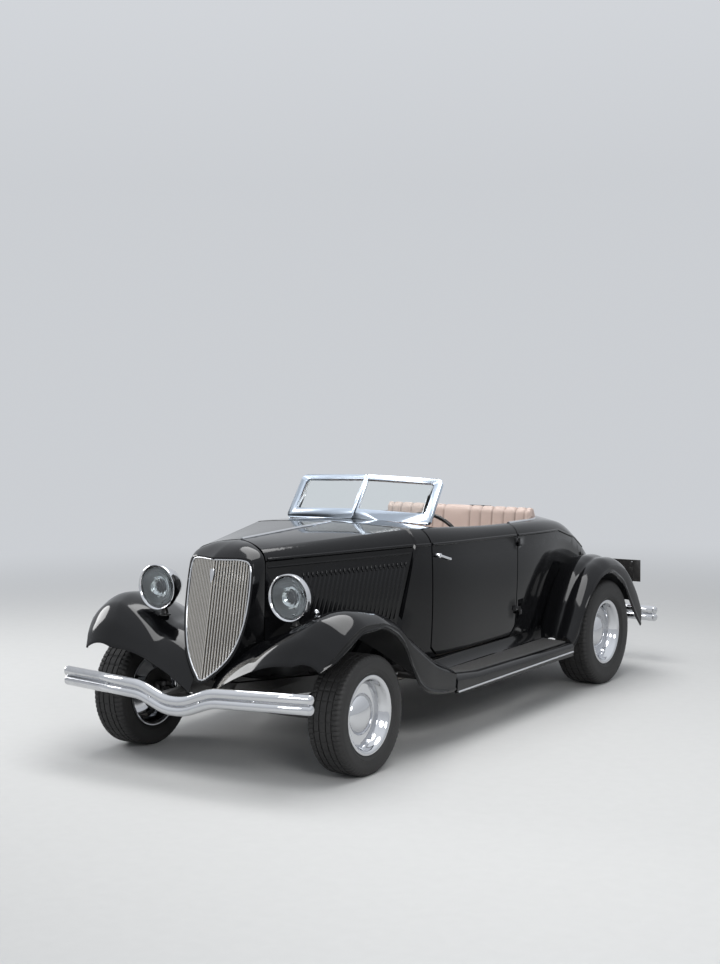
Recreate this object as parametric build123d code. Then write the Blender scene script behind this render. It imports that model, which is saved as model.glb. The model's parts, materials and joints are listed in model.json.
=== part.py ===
from build123d import *
import math
import os

os.makedirs("parts", exist_ok=True)

# An open two-seat hot rod of the nineteen-thirties pattern: a full-fendered roadster on a ladder frame
# with a dropped beam front axle, a live rear axle, a long louvred hood, a pointed grille and steel wheels.
# Millimetres. The car faces -Y, +X is its left side and Z is up from the ground. While it is modelled,
# Y = 0 is the middle of the wheelbase. Every finished piece is then moved along Y so that the origin lies
# on the ground under the middle of the whole car.

# Chassis and wheels
wheelbase = 2845
front_track = 1430
rear_track = 1455
front_overhang = 628
rear_overhang = 917
front_tyre_dia = 630
rear_tyre_dia = 680
front_tyre_width = 205
rear_tyre_width = 235
rim_dia = 384
rim_lip_dia = 418
cap_dia = 217
kingpin_span = 1130
steer_arm = 140
rail_gap = 690
rail_width = 50
rail_height = 90
rail_z = 345

# Body
firewall_setback = 822
cowl_length = 140
door_length = 920
body_wall = 45
panel_gap = 9
sill_z = 436
floor_thick = 12
hood_sheet = 12
fender_sheet = 12
louvre_count = 24
grille_bar_pitch = 14.5
seat_gap = 0.3
cockpit_behind_door = 551
glass_thick = 6
bumper_tube = 27
lamp_dia = 252

front_axle_y = -wheelbase / 2
rear_axle_y = wheelbase / 2
front_axle_z = front_tyre_dia / 2
rear_axle_z = rear_tyre_dia / 2
cowl_y = front_axle_y + firewall_setback
door_front_y = cowl_y + cowl_length
door_rear_y = door_front_y + door_length
car_front_y = front_axle_y - front_overhang
car_rear_y = rear_axle_y + rear_overhang
to_origin = -(car_front_y + car_rear_y) / 2


def write(node, *pieces):
    """Moves the finished pieces of a node to the car's origin and writes them."""
    moved = [Pos(0, to_origin, 0) * piece for piece in pieces]
    export_step(moved[0] if len(moved) == 1 else Compound(children=moved), f"parts/{node}.step")


def both_sides(part):
    return [part, mirror(part, about=Plane.YZ)]


def block(x0, x1, y0, y1, z0, z1):
    """A box given by its two corners."""
    centre = Pos((x0 + x1) / 2, (y0 + y1) / 2, (z0 + z1) / 2)
    return centre * Box(x1 - x0, y1 - y0, z1 - z0)


def rod(start, end, radius):
    """A round bar from one point to another."""
    a, b = Vector(*start), Vector(*end)
    return extrude(Plane(origin=a, z_dir=b - a) * Circle(radius), (b - a).length)


def bent_tube(points, bend, radius, bore=0):
    """A tube along straight runs joined by round bends."""
    path = FilletPolyline(*points, radius=bend)
    start = Plane(origin=path @ 0, z_dir=path % 0)
    section = start * Circle(radius)
    if bore:
        section -= start * Circle(bore)
    return sweep(section, path=path)


def bowed(p, q, bulge):
    """An arc from p to q whose middle stands off the chord by bulge, to the left of the way from p to q."""
    along = (q - p).normalized()
    aside = Vector(-along.Y, along.X, 0)
    return ThreePointArc(p, (p + q) / 2 + aside * bulge, q)


def section_face(y, edges):
    """A closed outline drawn as (x, z) pairs, stood up across the car at station y."""
    upright = Plane(origin=(0, y, 0), x_dir=(1, 0, 0), z_dir=(0, -1, 0))
    return upright * make_face(edges)


# Body sections, front to back. The first five stations hang on the cowl and the door, the rest on the
# rear axle. The widths are half widths.
# y, sill x, belt x, belt z, shoulder x, shoulder z, top z
door_mid_y = (door_front_y + door_rear_y) / 2
body_rows = [
    (cowl_y - 230, 474, 506, 1098, 430, 1186, 1206),
    (cowl_y, 545, 586, 1094, 508, 1189, 1210),
    (door_front_y + 20, 585, 622, 1088, 550, 1182, 1208),
    (door_mid_y, 632, 660, 1074, 606, 1152, 1192),
    (door_rear_y, 642, 676, 1056, 622, 1128, 1178),
    (rear_axle_y - 350, 560, 652, 1030, 580, 1098, 1152),
    (rear_axle_y - 20, 500, 606, 950, 500, 1040, 1112),
    (rear_axle_y + 180, 490, 572, 860, 440, 972, 1066),
    (rear_axle_y + 380, 450, 516, 760, 380, 862, 968),
    (rear_axle_y + 520, 380, 424, 660, 310, 740, 806),
    (rear_axle_y + 600, 270, 300, 575, 220, 622, 652),
]


def body_section(row, grow, foot_z):
    y, sill_x, belt_x, belt_z, shoulder_x, shoulder_z, top_z = row
    sill = Vector(sill_x + grow, foot_z)
    belt = Vector(belt_x + grow, belt_z + grow / 3)
    shoulder = Vector(shoulder_x + grow, shoulder_z + grow)
    top = Vector(0, top_z + grow)
    far_sill = Vector(-sill.X, sill.Y)
    far_belt = Vector(-belt.X, belt.Y)
    far_shoulder = Vector(-shoulder.X, shoulder.Y)
    edges = [
        Line(far_sill, sill),
        bowed(sill, belt, -12),
        bowed(belt, shoulder, -14),
        ThreePointArc(shoulder, top, far_shoulder),
        bowed(far_shoulder, far_belt, -14),
        bowed(far_belt, far_sill, -12),
    ]
    return section_face(y, edges)


def body_solid(grow=0.0, foot_z=sill_z):
    """The whole tub as one solid, grown or shrunk by an even amount."""
    return loft([body_section(row, grow, foot_z) for row in body_rows])


# The tub: cowl, two doors, rear body and deck lid are cut from one hollow shell.
lean = math.tan(math.radians(12))
crease_z = 1095
cockpit_y = cowl_y + 260
cockpit_rear_y = door_rear_y + cockpit_behind_door
deck_front_y = rear_axle_y - 190
deck_rear_y = rear_axle_y + 470
deck_half = 330
car_half = 1100
top_limit = 1600

outer_skin = body_solid()
tail_wall = block(-car_half, car_half, rear_axle_y + 570, car_rear_y, 0, top_limit)
inner_space = body_solid(-body_wall, sill_z - 100) - tail_wall

# What lies against the tub is cut with the tub grown by the seating gap and carried on under the sills.
sill_side = [(row[1] + seat_gap, row[0]) for row in body_rows]
sill_plan = Polyline(*sill_side, *[(-x, y) for x, y in reversed(sill_side)], close=True)
under_tub = Pos(0, 0, sill_z - 200) * extrude(make_face(sill_plan), 201)
body_cut = body_solid(seat_gap) + under_tub


def side_prism(points, x0, x1):
    """A prism drawn as (y, z) points and run across the car from x0 to x1."""
    drawn = Plane(origin=(x0, 0, 0), x_dir=(0, 1, 0), z_dir=(1, 0, 0))
    outline = drawn * make_face(Polyline(*points, close=True))
    return extrude(outline, x1 - x0, dir=(1, 0, 0))


def behind_hood(gap):
    """Everything behind the sloping joint between the hood and the cowl."""
    foot = cowl_y - (crease_z - 300) * lean + gap
    head = cowl_y + (top_limit - crease_z) * lean + gap
    reach = car_rear_y + 500
    side_view = [(foot, 300), (reach, 300), (reach, top_limit), (head, top_limit)]
    return side_prism(side_view, -car_half, car_half)


def cockpit_cut():
    """The open top over the seats, rounded at its rear corners, and wider at the elbows."""
    mid = door_mid_y
    front, rear = cockpit_y, cockpit_rear_y
    outline = Polyline(
        (545, front), (588, mid), (598, door_rear_y), (572, rear - 160), (500, rear), (-500, rear),
        (-572, rear - 160), (-598, door_rear_y), (-588, mid), (-545, front), close=True,
    )
    return Pos(0, 0, 1000) * extrude(make_face(outline), top_limit - 1000)


def door_zone(gap):
    """The side view of a door, grown by gap, as a prism through the whole car."""
    corner = 55
    front_top = (door_front_y - 22 - gap, top_limit)
    front_foot = (door_front_y + 22 - gap, sill_z + 14 + corner - gap)
    front_low = (door_front_y + 22 + corner - gap / 2, sill_z + 14 - gap)
    rear_low = (door_rear_y + 8 - corner + gap / 2, sill_z + 14 - gap)
    rear_foot = (door_rear_y + 8 + gap, sill_z + 14 + corner - gap)
    rear_top = (door_rear_y - 6 + gap, top_limit)
    points = [front_top, front_foot, front_low, rear_low, rear_foot, rear_top]
    scuttle_half = 556 - gap
    scuttle = block(-scuttle_half, scuttle_half, cowl_y, cockpit_y + 5, crease_z, top_limit)
    return side_prism(points, -car_half, car_half) - scuttle


shell = outer_skin - inner_space - cockpit_cut()
shell = shell & behind_hood(panel_gap / 2)
door_skin = (outer_skin - body_solid(-body_wall - 10, sill_z - 100) - cockpit_cut()) & door_zone(0)
opened = shell - door_zone(panel_gap)
front_part = block(-car_half, car_half, cowl_y - 400, door_mid_y, 0, top_limit)
rear_part = block(-car_half, car_half, door_mid_y, car_rear_y, 0, top_limit)

firewall = (inner_space & behind_hood(panel_gap / 2)) - behind_hood(panel_gap / 2 + 14)
firewall = firewall & block(-car_half, car_half, cowl_y - 400, cowl_y + 100, sill_z, top_limit)
cowl = (opened & front_part) + firewall

# The deck lid lies on a ledge round its opening.
deck_sheet = 18
deck_gap = 7
ledge = 22


def deck_opening(grow):
    """The deck lid's outline seen from above, grown or shrunk on every side."""
    half = deck_half + grow
    return block(-half, half, deck_front_y - grow, deck_rear_y + grow, 760, top_limit)


boot_floor_z = 600
bulkhead_y = cockpit_rear_y + 12
bulkhead = block(-car_half, car_half, bulkhead_y, bulkhead_y + 14, sill_z, top_limit) & inner_space
boot_floor = block(-car_half, car_half, bulkhead_y, car_rear_y, boot_floor_z, boot_floor_z + 12)
boot_floor = boot_floor & inner_space
rear_shell = opened & rear_part
lid_seat = (rear_shell & body_solid(-deck_sheet - seat_gap)) - deck_opening(-ledge)
rear_shell = (rear_shell - deck_opening(deck_gap)) + (lid_seat & deck_opening(deck_gap + 1))
rear_body = rear_shell + bulkhead + boot_floor
deck_skin = (outer_skin - body_solid(-deck_sheet, sill_z - 100)) & deck_opening(0)

# The lid turns on one hinge in the middle of its front edge. The pin and the outer barrels belong to the
# body, the middle barrel to the lid.
lid_axis_y, lid_axis_z = deck_front_y - deck_gap / 2, 1149.5
lid_pin = 4
lid_barrel = 8
lid_leaf = 22
lid_knuckle = 29
lid_hinge_half = 80
running_gap = 0.05


def across(x0, x1, radius):
    """A round bar on the lid's axis."""
    return rod((x0, lid_axis_y, lid_axis_z), (x1, lid_axis_y, lid_axis_z), radius)


leaf_foot_z = lid_axis_z - lid_leaf
outer_leaf = block(
    lid_knuckle + 1, lid_hinge_half, lid_axis_y - lid_leaf, lid_axis_y, leaf_foot_z, lid_axis_z
)
outer_barrel = across(lid_knuckle + 1, lid_hinge_half, lid_barrel)
rear_body += both_sides(outer_leaf) + both_sides(outer_barrel)
rear_body += across(-lid_hinge_half, lid_hinge_half, lid_pin)
lid_plate = block(-lid_knuckle, lid_knuckle, lid_axis_y, lid_axis_y + lid_leaf, leaf_foot_z, lid_axis_z)
middle_barrel = across(-lid_knuckle, lid_knuckle, lid_barrel)
lid_bore = across(-lid_hinge_half, lid_hinge_half, lid_pin + running_gap)
write("deck_lid", deck_skin + lid_plate + middle_barrel - lid_bore)


# Door hinges: two on each side behind the door. A pin and lower barrel belong to the body, the upper
# barrel turns on the pin with the door.
hinge_x = 687
hinge_y = door_rear_y + 8
hinge_heights = (600, 1020)
hinge_pin = 4
hinge_barrel = 8
hinge_half_high = 25


def hinge_body_half(z):
    """The lower leaf and barrel, with the pin that stands up through both barrels."""
    high = hinge_half_high - seat_gap
    leaf = block(hinge_x - 48, hinge_x, hinge_y + 3, hinge_y + 32, z - hinge_half_high, z - seat_gap)
    barrel = Pos(hinge_x, hinge_y, z - seat_gap - high / 2) * Cylinder(hinge_barrel, high)
    pin = Pos(hinge_x, hinge_y, z) * Cylinder(hinge_pin, 2 * hinge_half_high)
    return [leaf, barrel, pin]


def hinge_door_half(z):
    """The upper leaf and its bored barrel."""
    leaf = block(hinge_x - 48, hinge_x, hinge_y - 34, hinge_y - 3, z, z + hinge_half_high)
    barrel = Pos(hinge_x, hinge_y, z + hinge_half_high / 2) * Cylinder(hinge_barrel, hinge_half_high)
    bore = Pos(hinge_x, hinge_y, z) * Cylinder(hinge_pin + running_gap, 4 * hinge_half_high)
    return (leaf + barrel) - bore


door = door_skin.solids().sort_by(Axis.X)[-1]
for height in hinge_heights:
    body_half = hinge_body_half(height)
    rear_body += body_half + [mirror(piece, about=Plane.YZ) for piece in body_half]
    door += hinge_door_half(height)
write("rear_body", rear_body)
for name, solid in zip(("left", "right"), both_sides(door)):
    write(f"door_{name}", solid)

# The hood: fixed louvred sides and two top panels hinged along the middle.
# Its front edge is a shallow V seen from above, furthest back in the middle.
nose_ridge_y = front_axle_y - 16
nose_sweep = 0.42
nose_half = 236
nose_y = nose_ridge_y - nose_sweep * nose_half
hood_rows = [
    # y, foot x, foot z, crease x, brow x, brow z, top z
    (nose_y, 205, 610, nose_half, 168, 1160, 1189),
    (cowl_y + 180, 622, 640, 649, 573, 1192, 1211),
]
louvre_rise = 9
hinge_half = 7


def hood_section(row, grow):
    y, foot_x, foot_z, crease_x, brow_x, brow_z, top_z = row
    foot = Vector(foot_x + grow, foot_z)
    crease = Vector(crease_x + grow, crease_z)
    brow = Vector(brow_x + grow, brow_z + grow)
    top = Vector(0, top_z + grow)
    far_foot = Vector(-foot.X, foot.Y)
    far_crease = Vector(-crease.X, crease.Y)
    far_brow = Vector(-brow.X, brow.Y)
    edges = [
        Line(far_foot, foot),
        Line(foot, crease),
        bowed(crease, brow, -14),
        ThreePointArc(brow, top, far_brow),
        bowed(far_brow, far_crease, -14),
        Line(far_crease, far_foot),
    ]
    return section_face(y, edges)


def hood_solid(grow=0.0):
    return loft([hood_section(row, grow) for row in hood_rows])


def ahead_of_hood(gap):
    """Everything ahead of the hood's front edge, less gap, on both sides of the car."""
    side_y = nose_ridge_y - nose_sweep * car_half - gap
    plan = [(0, nose_ridge_y - gap), (car_half, side_y), (car_half, car_front_y), (-car_half, car_front_y)]
    plan.append((-car_half, side_y))
    return extrude(make_face(Polyline(*plan, close=True)), top_limit)


before_cowl = hood_solid() - behind_hood(-panel_gap / 2) - ahead_of_hood(0)
hood_shell = before_cowl - hood_solid(-hood_sheet) - block(-car_half, car_half, nose_y, cowl_y, 0, 640)
side_band = block(-car_half, car_half, nose_y, cowl_y + 200, 600, crease_z - 4)
top_band = block(-car_half, car_half, nose_y, cowl_y + 200, crease_z + 4, top_limit)

louvre_pitch = 28.5
louvre_long = 300
louvre_wide = 17
louvre_foot_z = 700


def hood_side_x(y, z):
    """How far out the hood's side lies at a station and a height."""
    (y0, foot0, low0, crease0, *_), (y1, foot1, low1, crease1, *_) = hood_rows
    share = (y - y0) / (y1 - y0)
    foot = foot0 + (foot1 - foot0) * share
    low = low0 + (low1 - low0) * share
    crease = crease0 + (crease1 - crease0) * share
    return foot + (crease - foot) * (z - low) / (crease_z - low)


def louvre(number):
    """One pressed louvre: a slim raised rib with a sloping back, leaning like the cowl joint."""
    foot_y = cowl_y - (crease_z - louvre_foot_z) * lean - 42 - number * louvre_pitch
    head_y = foot_y + louvre_long * lean
    head_z = louvre_foot_z + louvre_long
    faces = []
    for y, z in ((foot_y, louvre_foot_z), (head_y, head_z)):
        root = hood_side_x(y, z) - 3
        back = hood_side_x(y + louvre_wide, z) - 3
        lip = (root + louvre_rise + 3, y + 2)
        outline = Polyline((root, y), lip, (back + 2, y + louvre_wide), close=True)
        faces.append(Pos(0, 0, z) * make_face(outline))
    return loft(faces)


side_panels = (hood_shell & side_band).solids().sort_by(Axis.X)
louvres = [louvre(number) for number in range(louvre_count)]
side_left = side_panels[-1] + louvres
write("hood_side_left", side_left)
write("hood_side_right", mirror(side_left, about=Plane.YZ))

# The hood's rod runs from the shell to the cowl along the middle, and both top panels turn on it.
rod_radius = hinge_half - 0.5


def ridge_point(y):
    """A point of the hood's hinge line, in the middle of the sheet."""
    (y0, *_, top0), (y1, *_, top1) = hood_rows
    return (0, y, top0 + (top1 - top0) * (y - y0) / (y1 - y0) - hood_sheet / 2)


rod_start = ridge_point(nose_ridge_y - panel_gap + seat_gap)
hood_rod = rod(rod_start, ridge_point(cowl_y + 60), rod_radius)
write("cowl", cowl + hood_rod)

# The upper edge beside the rod is bevelled so that both panels can stand open at once.
bevel_slope = math.tan(math.radians(28))
bevel_reach = 24
bevel = []
for y in (nose_y - 10, cowl_y + 80):
    _, _, z = ridge_point(y)
    corners = [(-1, z), (0, z), (bevel_reach, z + bevel_reach * bevel_slope), (-1, z + 40)]
    bevel.append(section_face(y, Polyline(*corners, close=True).edges()))
top_half = hood_shell & top_band & block(hinge_half, car_half, nose_y, cowl_y + 200, 0, top_limit)
top_half -= loft(bevel, ruled=True)
for name, solid in zip(("left", "right"), both_sides(top_half)):
    write(f"hood_top_{name}", solid)

# The grille: a pointed prow of upright bars in a thin surround, leaning back, in a painted shell.
grille_foot = Vector(0, front_axle_y - 390, 486)
grille_head = Vector(0, front_axle_y - 258, 1107)
prow = 0.37
grille_outline = [
    # half width, height
    (12, 487), (48, 511), (95, 554), (142, 617), (172, 690), (191, 768), (202, 857), (205, 945),
    (202, 1040), (196, 1072), (176, 1098),
]
surround = 9
bar_wide = 5
bar_deep = 16
grille_back = 26


def grille_y(x, z):
    """The front of the grille at a point of its face."""
    climb = (z - grille_foot.Z) / (grille_head.Z - grille_foot.Z)
    return grille_foot.Y + (grille_head.Y - grille_foot.Y) * climb + prow * abs(x)


def grille_half_width(z):
    for (x0, z0), (x1, z1) in zip(grille_outline, grille_outline[1:]):
        if z0 <= z <= z1:
            return x0 + (x1 - x0) * (z - z0) / (z1 - z0)
    return 0


def grille_slab(grow, front, back):
    """One half of the grille's outline, grown and run back from its face."""
    right = [(x + grow, z) for x, z in grille_outline]
    right[0] = (right[0][0], right[0][1] - grow)
    right[-1] = (right[-1][0], right[-1][1] + grow)
    points = [(0, right[0][1])] + right + [(0, grille_head.Z + grow)]
    upright = Plane(origin=(0, grille_foot.Y - 200, 0), x_dir=(1, 0, 0), z_dir=(0, 1, 0))
    flat = [(x, -z) for x, z in points]
    prism = extrude(upright * make_face(Polyline(*flat, close=True)), 900, dir=(0, 1, 0))
    corners = [
        Vector(0, grille_y(0, 300) + front, 300), Vector(400, grille_y(400, 300) + front, 300),
        Vector(400, grille_y(400, 1400) + front, 1400), Vector(0, grille_y(0, 1400) + front, 1400),
    ]
    face = make_face(Polyline(*corners, close=True))
    return prism & extrude(face, back - front, dir=(0, 1, 0))


ring = grille_slab(0, 0, grille_back) - grille_slab(-surround, -5, grille_back + 5)
bars = []
bar_count = int(max(x for x, z in grille_outline) / grille_bar_pitch)
for number in range(bar_count):
    x = grille_bar_pitch * (number + 0.5)
    foot_z = next(z for z in range(490, 1090, 4) if grille_half_width(z) > x + 2) - 6
    top_z = grille_head.Z - 4
    low = Vector(x, grille_y(x, foot_z) + 2, foot_z)
    high = Vector(x, grille_y(x, top_z) + 2, top_z)
    corners = [low, high, high + Vector(0, bar_deep, 0), low + Vector(0, bar_deep, 0)]
    bar = extrude(make_face(Polyline(*corners, close=True)), bar_wide, dir=(1, 0, 0))
    bars.append(Pos(-bar_wide / 2, 0, 0) * bar)
bars = [bar & grille_slab(-3, -10, grille_back + 20) for bar in bars]
half = ring + bars
cross_bar_z = 780
cross_bar = block(0, 400, grille_foot.Y - 100, nose_y + 200, cross_bar_z, cross_bar_z + 14)
centre_bar = block(0, 6, grille_foot.Y - 100, nose_y + 200, grille_foot.Z, grille_head.Z + 5)
half += cross_bar & grille_slab(-2, bar_deep, bar_deep + 10)
half += centre_bar & grille_slab(0, -4, grille_back)
write("grille", half + mirror(half, about=Plane.YZ))

# The painted shell round the grille is a hollow nose. It runs from a lip round the grille back to the hood
# and swells quickly behind the lip.
shell_rows = [
    # lip: half width, height; rear edge: half width, height
    (0, 475, 0, 475), (14, 475, 14, 475), (56, 500, 62, 500), (104, 544, 122, 540), (153, 609, 180, 600),
    (184, 685, 212, 690), (203, 765, 218, 768), (214, 856, 226, 857), (217, 945, 230, 945),
    (214, 1044, 236, 1075), (208, 1085, 229, 1110), (188, 1110, 206, 1138), (150, 1118, 165, 1160),
    (80, 1119, 85, 1183), (0, 1119, 0, 1190),
]
shell_proud = -4
shell_swell = 2.2
shell_middle_z = 830
shell_wall_across, shell_wall_up = 0.945, 0.966
lip_share = 0.12


def shell_section(share, across_scale, up_scale):
    """The left half of the shell's outline, from the lip (share 0) to the rear edge (share 1)."""
    swell = 1 - max(1 - share, 0) ** shell_swell
    points = []
    for lip_x, lip_z, rear_x, rear_z in shell_rows:
        x = (lip_x + (rear_x - lip_x) * swell) * across_scale
        z = shell_middle_z + (lip_z + (rear_z - lip_z) * swell - shell_middle_z) * up_scale
        front = grille_y(x, z) + shell_proud
        rear = nose_ridge_y - nose_sweep * x - panel_gap
        points.append((x, front + (rear - front) * share, z))
    return make_face(Polyline(*points, close=True))


def shell_solid(shares, across_scale=1.0, up_scale=1.0):
    """The left half of the shell as a solid between the first and the last share."""
    return loft([shell_section(share, across_scale, up_scale) for share in shares], ruled=True)


def shell_grown(gap):
    """The shell's solid half grown by a gap on every side."""
    return shell_solid((-0.01, 0.35, 1.0), 1 + gap / nose_half, 1 + gap / 300)


grille_hole = grille_slab(seat_gap, -60, 800)
shell_inner = shell_solid((lip_share, 0.4, 1.05), shell_wall_across, shell_wall_up)
shell_half = shell_solid((0, 0.35, 1.0)) - shell_inner - grille_hole
write("grille_shell", shell_half + mirror(shell_half, about=Plane.YZ))

# Fenders: pressed shells that bulge over the wheels. Each row is a cross-section of the left fender.
# y from its axle, inner x, inner z, valley x, valley z, crown x, crown z, flank x, flank z, lip z
front_fender_rows = [
    (-405, 60, 425, 320, 566, 600, 624, 772, 606, 584),
    (-340, 70, 505, 330, 640, 620, 764, 818, 676, 622),
    (-242, 110, 600, 360, 704, 655, 846, 850, 758, 690),
    (-100, 196, 664, 390, 740, 676, 874, 860, 806, 752),
    (48, 250, 668, 430, 735, 690, 858, 862, 796, 752),
    (178, 300, 668, 470, 705, 700, 818, 862, 752, 706),
    (262, 332, 666, 495, 680, 705, 778, 862, 706, 640),
    (350, 366, 664, 522, 640, 710, 722, 862, 632, 505),
    (432, 398, 656, 546, 592, 714, 664, 862, 580, 393),
    (508, 440, 640, 568, 545, 718, 612, 862, 532, 346),
    (622, 478, 560, 596, 470, 726, 528, 860, 470, 315),
    (822, 560, 366, 640, 366, 750, 412, 858, 398, 292),
]
rear_fender_rows = [
    (-545, 600, 352, 650, 358, 740, 372, 850, 350, 286),
    (-472, 590, 470, 650, 486, 745, 488, 866, 448, 372),
    (-398, 580, 580, 650, 600, 748, 606, 872, 558, 531),
    (-260, 560, 720, 640, 742, 752, 742, 878, 692, 657),
    (-135, 540, 790, 632, 808, 756, 808, 880, 756, 715),
    (-25, 520, 812, 622, 832, 758, 832, 880, 780, 726),
    (88, 500, 806, 608, 828, 752, 826, 878, 768, 690),
    (234, 470, 760, 588, 786, 738, 788, 872, 722, 603),
    (318, 450, 700, 574, 728, 728, 736, 868, 662, 503),
    (430, 420, 590, 552, 616, 716, 632, 862, 552, 380),
    (528, 390, 446, 530, 470, 704, 488, 856, 420, 300),
]


def fender_section(row, axle_y):
    """A closed cross-section of a fender's wall."""
    dy, inner_x, inner_z, valley_x, valley_z, crown_x, crown_z, flank_x, flank_z, lip_z = row
    wall = fender_sheet
    inner = Vector(inner_x, inner_z)
    valley = Vector(valley_x, valley_z)
    crown = Vector(crown_x, crown_z)
    flank = Vector(flank_x, flank_z)
    lip = Vector(flank_x - 8, lip_z)
    lip_in = lip - Vector(wall, 0)
    flank_in = flank - Vector(wall, wall * 0.4)
    crown_in = crown - Vector(0, wall)
    valley_in = valley - Vector(0, wall)
    inner_in = inner - Vector(0, wall)
    edges = [
        bowed(inner, valley, 8),
        bowed(valley, crown, 16),
        bowed(crown, flank, 26),
        bowed(flank, lip, 4),
        Line(lip, lip_in),
        bowed(lip_in, flank_in, -4),
        bowed(flank_in, crown_in, -26),
        bowed(crown_in, valley_in, -16),
        bowed(valley_in, inner_in, -8),
        Line(inner_in, inner),
    ]
    return section_face(axle_y + dy, edges)


def fender(rows, axle_y):
    return loft([fender_section(row, axle_y) for row in rows], ruled=True)


hood_cut = hood_solid(seat_gap) - behind_hood(0)
front_fender = fender(front_fender_rows, front_axle_y) - body_cut - hood_cut - shell_grown(seat_gap)
write("front_fender_left", front_fender)
write("front_fender_right", mirror(front_fender, about=Plane.YZ))
rear_fender = fender(rear_fender_rows, rear_axle_y) - body_cut
write("rear_fender_left", rear_fender)
write("rear_fender_right", mirror(rear_fender, about=Plane.YZ))

# Running boards: a curved tread plate with a round nosing, and the apron up to the sill.
board_front_y = front_axle_y + front_fender_rows[-1][0] + seat_gap
board_rear_y = rear_axle_y + rear_fender_rows[0][0] - seat_gap
board_rows = [
    # share of the length, nose x, top z, bottom z
    (0.0, 858, 402, 290),
    (0.18, 858, 372, 282),
    (0.6, 858, 358, 274),
    (1.0, 858, 352, 268),
]
board_inner_x = 612
board_sheet = 14


def board_section(row):
    share, nose_x, top_z, foot_z = row
    y = board_front_y + (board_rear_y - board_front_y) * share
    apron_top = Vector(board_inner_x, sill_z - seat_gap)
    foot_of_apron = Vector(board_inner_x, 352)
    outer_apron = Vector(board_inner_x + board_sheet, sill_z - seat_gap)
    tread_in = Vector(board_inner_x + board_sheet, 366)
    tread_out = Vector(nose_x - 38, top_z)
    nose = Vector(nose_x, (top_z + foot_z) / 2 + 14)
    lip = Vector(nose_x - 6, foot_z)
    lip_in = lip - Vector(board_sheet, 0)
    nose_in = nose - Vector(board_sheet, 0)
    under_out = tread_out - Vector(4, board_sheet)
    under_in = Vector(board_inner_x + board_sheet, 352)
    edges = [
        Line(apron_top, outer_apron),
        Line(outer_apron, tread_in),
        Line(tread_in, tread_out),
        bowed(tread_out, nose, 9),
        Line(nose, lip),
        Line(lip, lip_in),
        Line(lip_in, nose_in),
        bowed(nose_in, under_out, -9),
        Line(under_out, under_in),
        Line(under_in, foot_of_apron),
        Line(foot_of_apron, apron_top),
    ]
    return section_face(y, edges)


board = loft([board_section(row) for row in board_rows], ruled=True)
write("running_board_left", board)
write("running_board_right", mirror(board, about=Plane.YZ))

# The windscreen: two flat panes in a raked frame that stands on the scuttle.
rake = math.radians(36)
screen_foot = Vector(0, cowl_y + 262, 1206)
screen_half = 508
screen_high = 300
screen_bow = 50
screen_fall = 18
frame_thick = 24
frame_sunk = 6
lower_bar, upper_bar, side_bar, centre_bar_half = 62, 32, 46, 20


def screen_plane():
    """The plane of the left pane: its origin at the foot of the middle, its x along the foot."""
    along = Vector(screen_half, screen_bow, -screen_fall).normalized()
    up = Vector(0, math.sin(rake), math.cos(rake))
    normal = along.cross(up).normalized()
    return Plane(origin=screen_foot, x_dir=along, z_dir=normal)


pane_plane = screen_plane()


def screen_plate(left, right, low, high, corner, thick):
    """A plate in the left pane's plane, rounded at its outer corners."""
    outline = [
        Line((left, low), (right - corner, low)),
        TangentArc((right - corner, low), (right, low + corner), tangent=(1, 0)),
        Line((right, low + corner), (right, high - corner)),
        TangentArc((right, high - corner), (right - corner, high), tangent=(0, 1)),
        Line((right - corner, high), (left, high)),
        Line((left, high), (left, low)),
    ]
    return extrude(pane_plane * make_face(outline), thick / 2, both=True)


def pane(grow, thick):
    """The opening in the frame, or the pane in it."""
    return screen_plate(
        centre_bar_half - grow, screen_half - side_bar + grow, lower_bar - grow,
        screen_high - upper_bar + grow, 26, thick,
    )


frame_half = screen_plate(-1, screen_half, -frame_sunk, screen_high, 34, frame_thick)
frame_half = frame_half - pane(0, frame_thick * 2) - body_cut
write("windscreen_frame", frame_half + mirror(frame_half, about=Plane.YZ))
write("windscreen_glass", *both_sides(pane(-seat_gap, glass_thick)))

# Bumpers: two fat tubes one over the other, the front one with a wide dip in the middle.
tube_offset = bumper_tube - 2
front_bumper_z, front_dip_z = 462, 390
rear_bumper_z = 345
front_middle_y = car_front_y + bumper_tube
rear_middle_y = car_rear_y - bumper_tube
front_bumper_path = [
    (-792, front_middle_y + 75, front_bumper_z), (-230, front_middle_y + 8, front_bumper_z - 10),
    (-60, front_middle_y, front_dip_z), (60, front_middle_y, front_dip_z),
    (230, front_middle_y + 8, front_bumper_z - 10), (792, front_middle_y + 75, front_bumper_z),
]
rear_bumper_path = [
    (-815, rear_middle_y - 60, rear_bumper_z), (-400, rear_middle_y, rear_bumper_z),
    (400, rear_middle_y, rear_bumper_z), (815, rear_middle_y - 60, rear_bumper_z),
]
front_bend, rear_bend = 290, 150


def bumper(points, bend, radius):
    tubes = []
    for side in (-1, 1):
        raised = [(x, y, z + side * tube_offset) for x, y, z in points]
        tubes.append(bent_tube(raised, bend, radius))
    return tubes[0] + tubes[1]


write("front_bumper", bumper(front_bumper_path, front_bend, bumper_tube))
write("rear_bumper", bumper(rear_bumper_path, rear_bend, bumper_tube))

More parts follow.
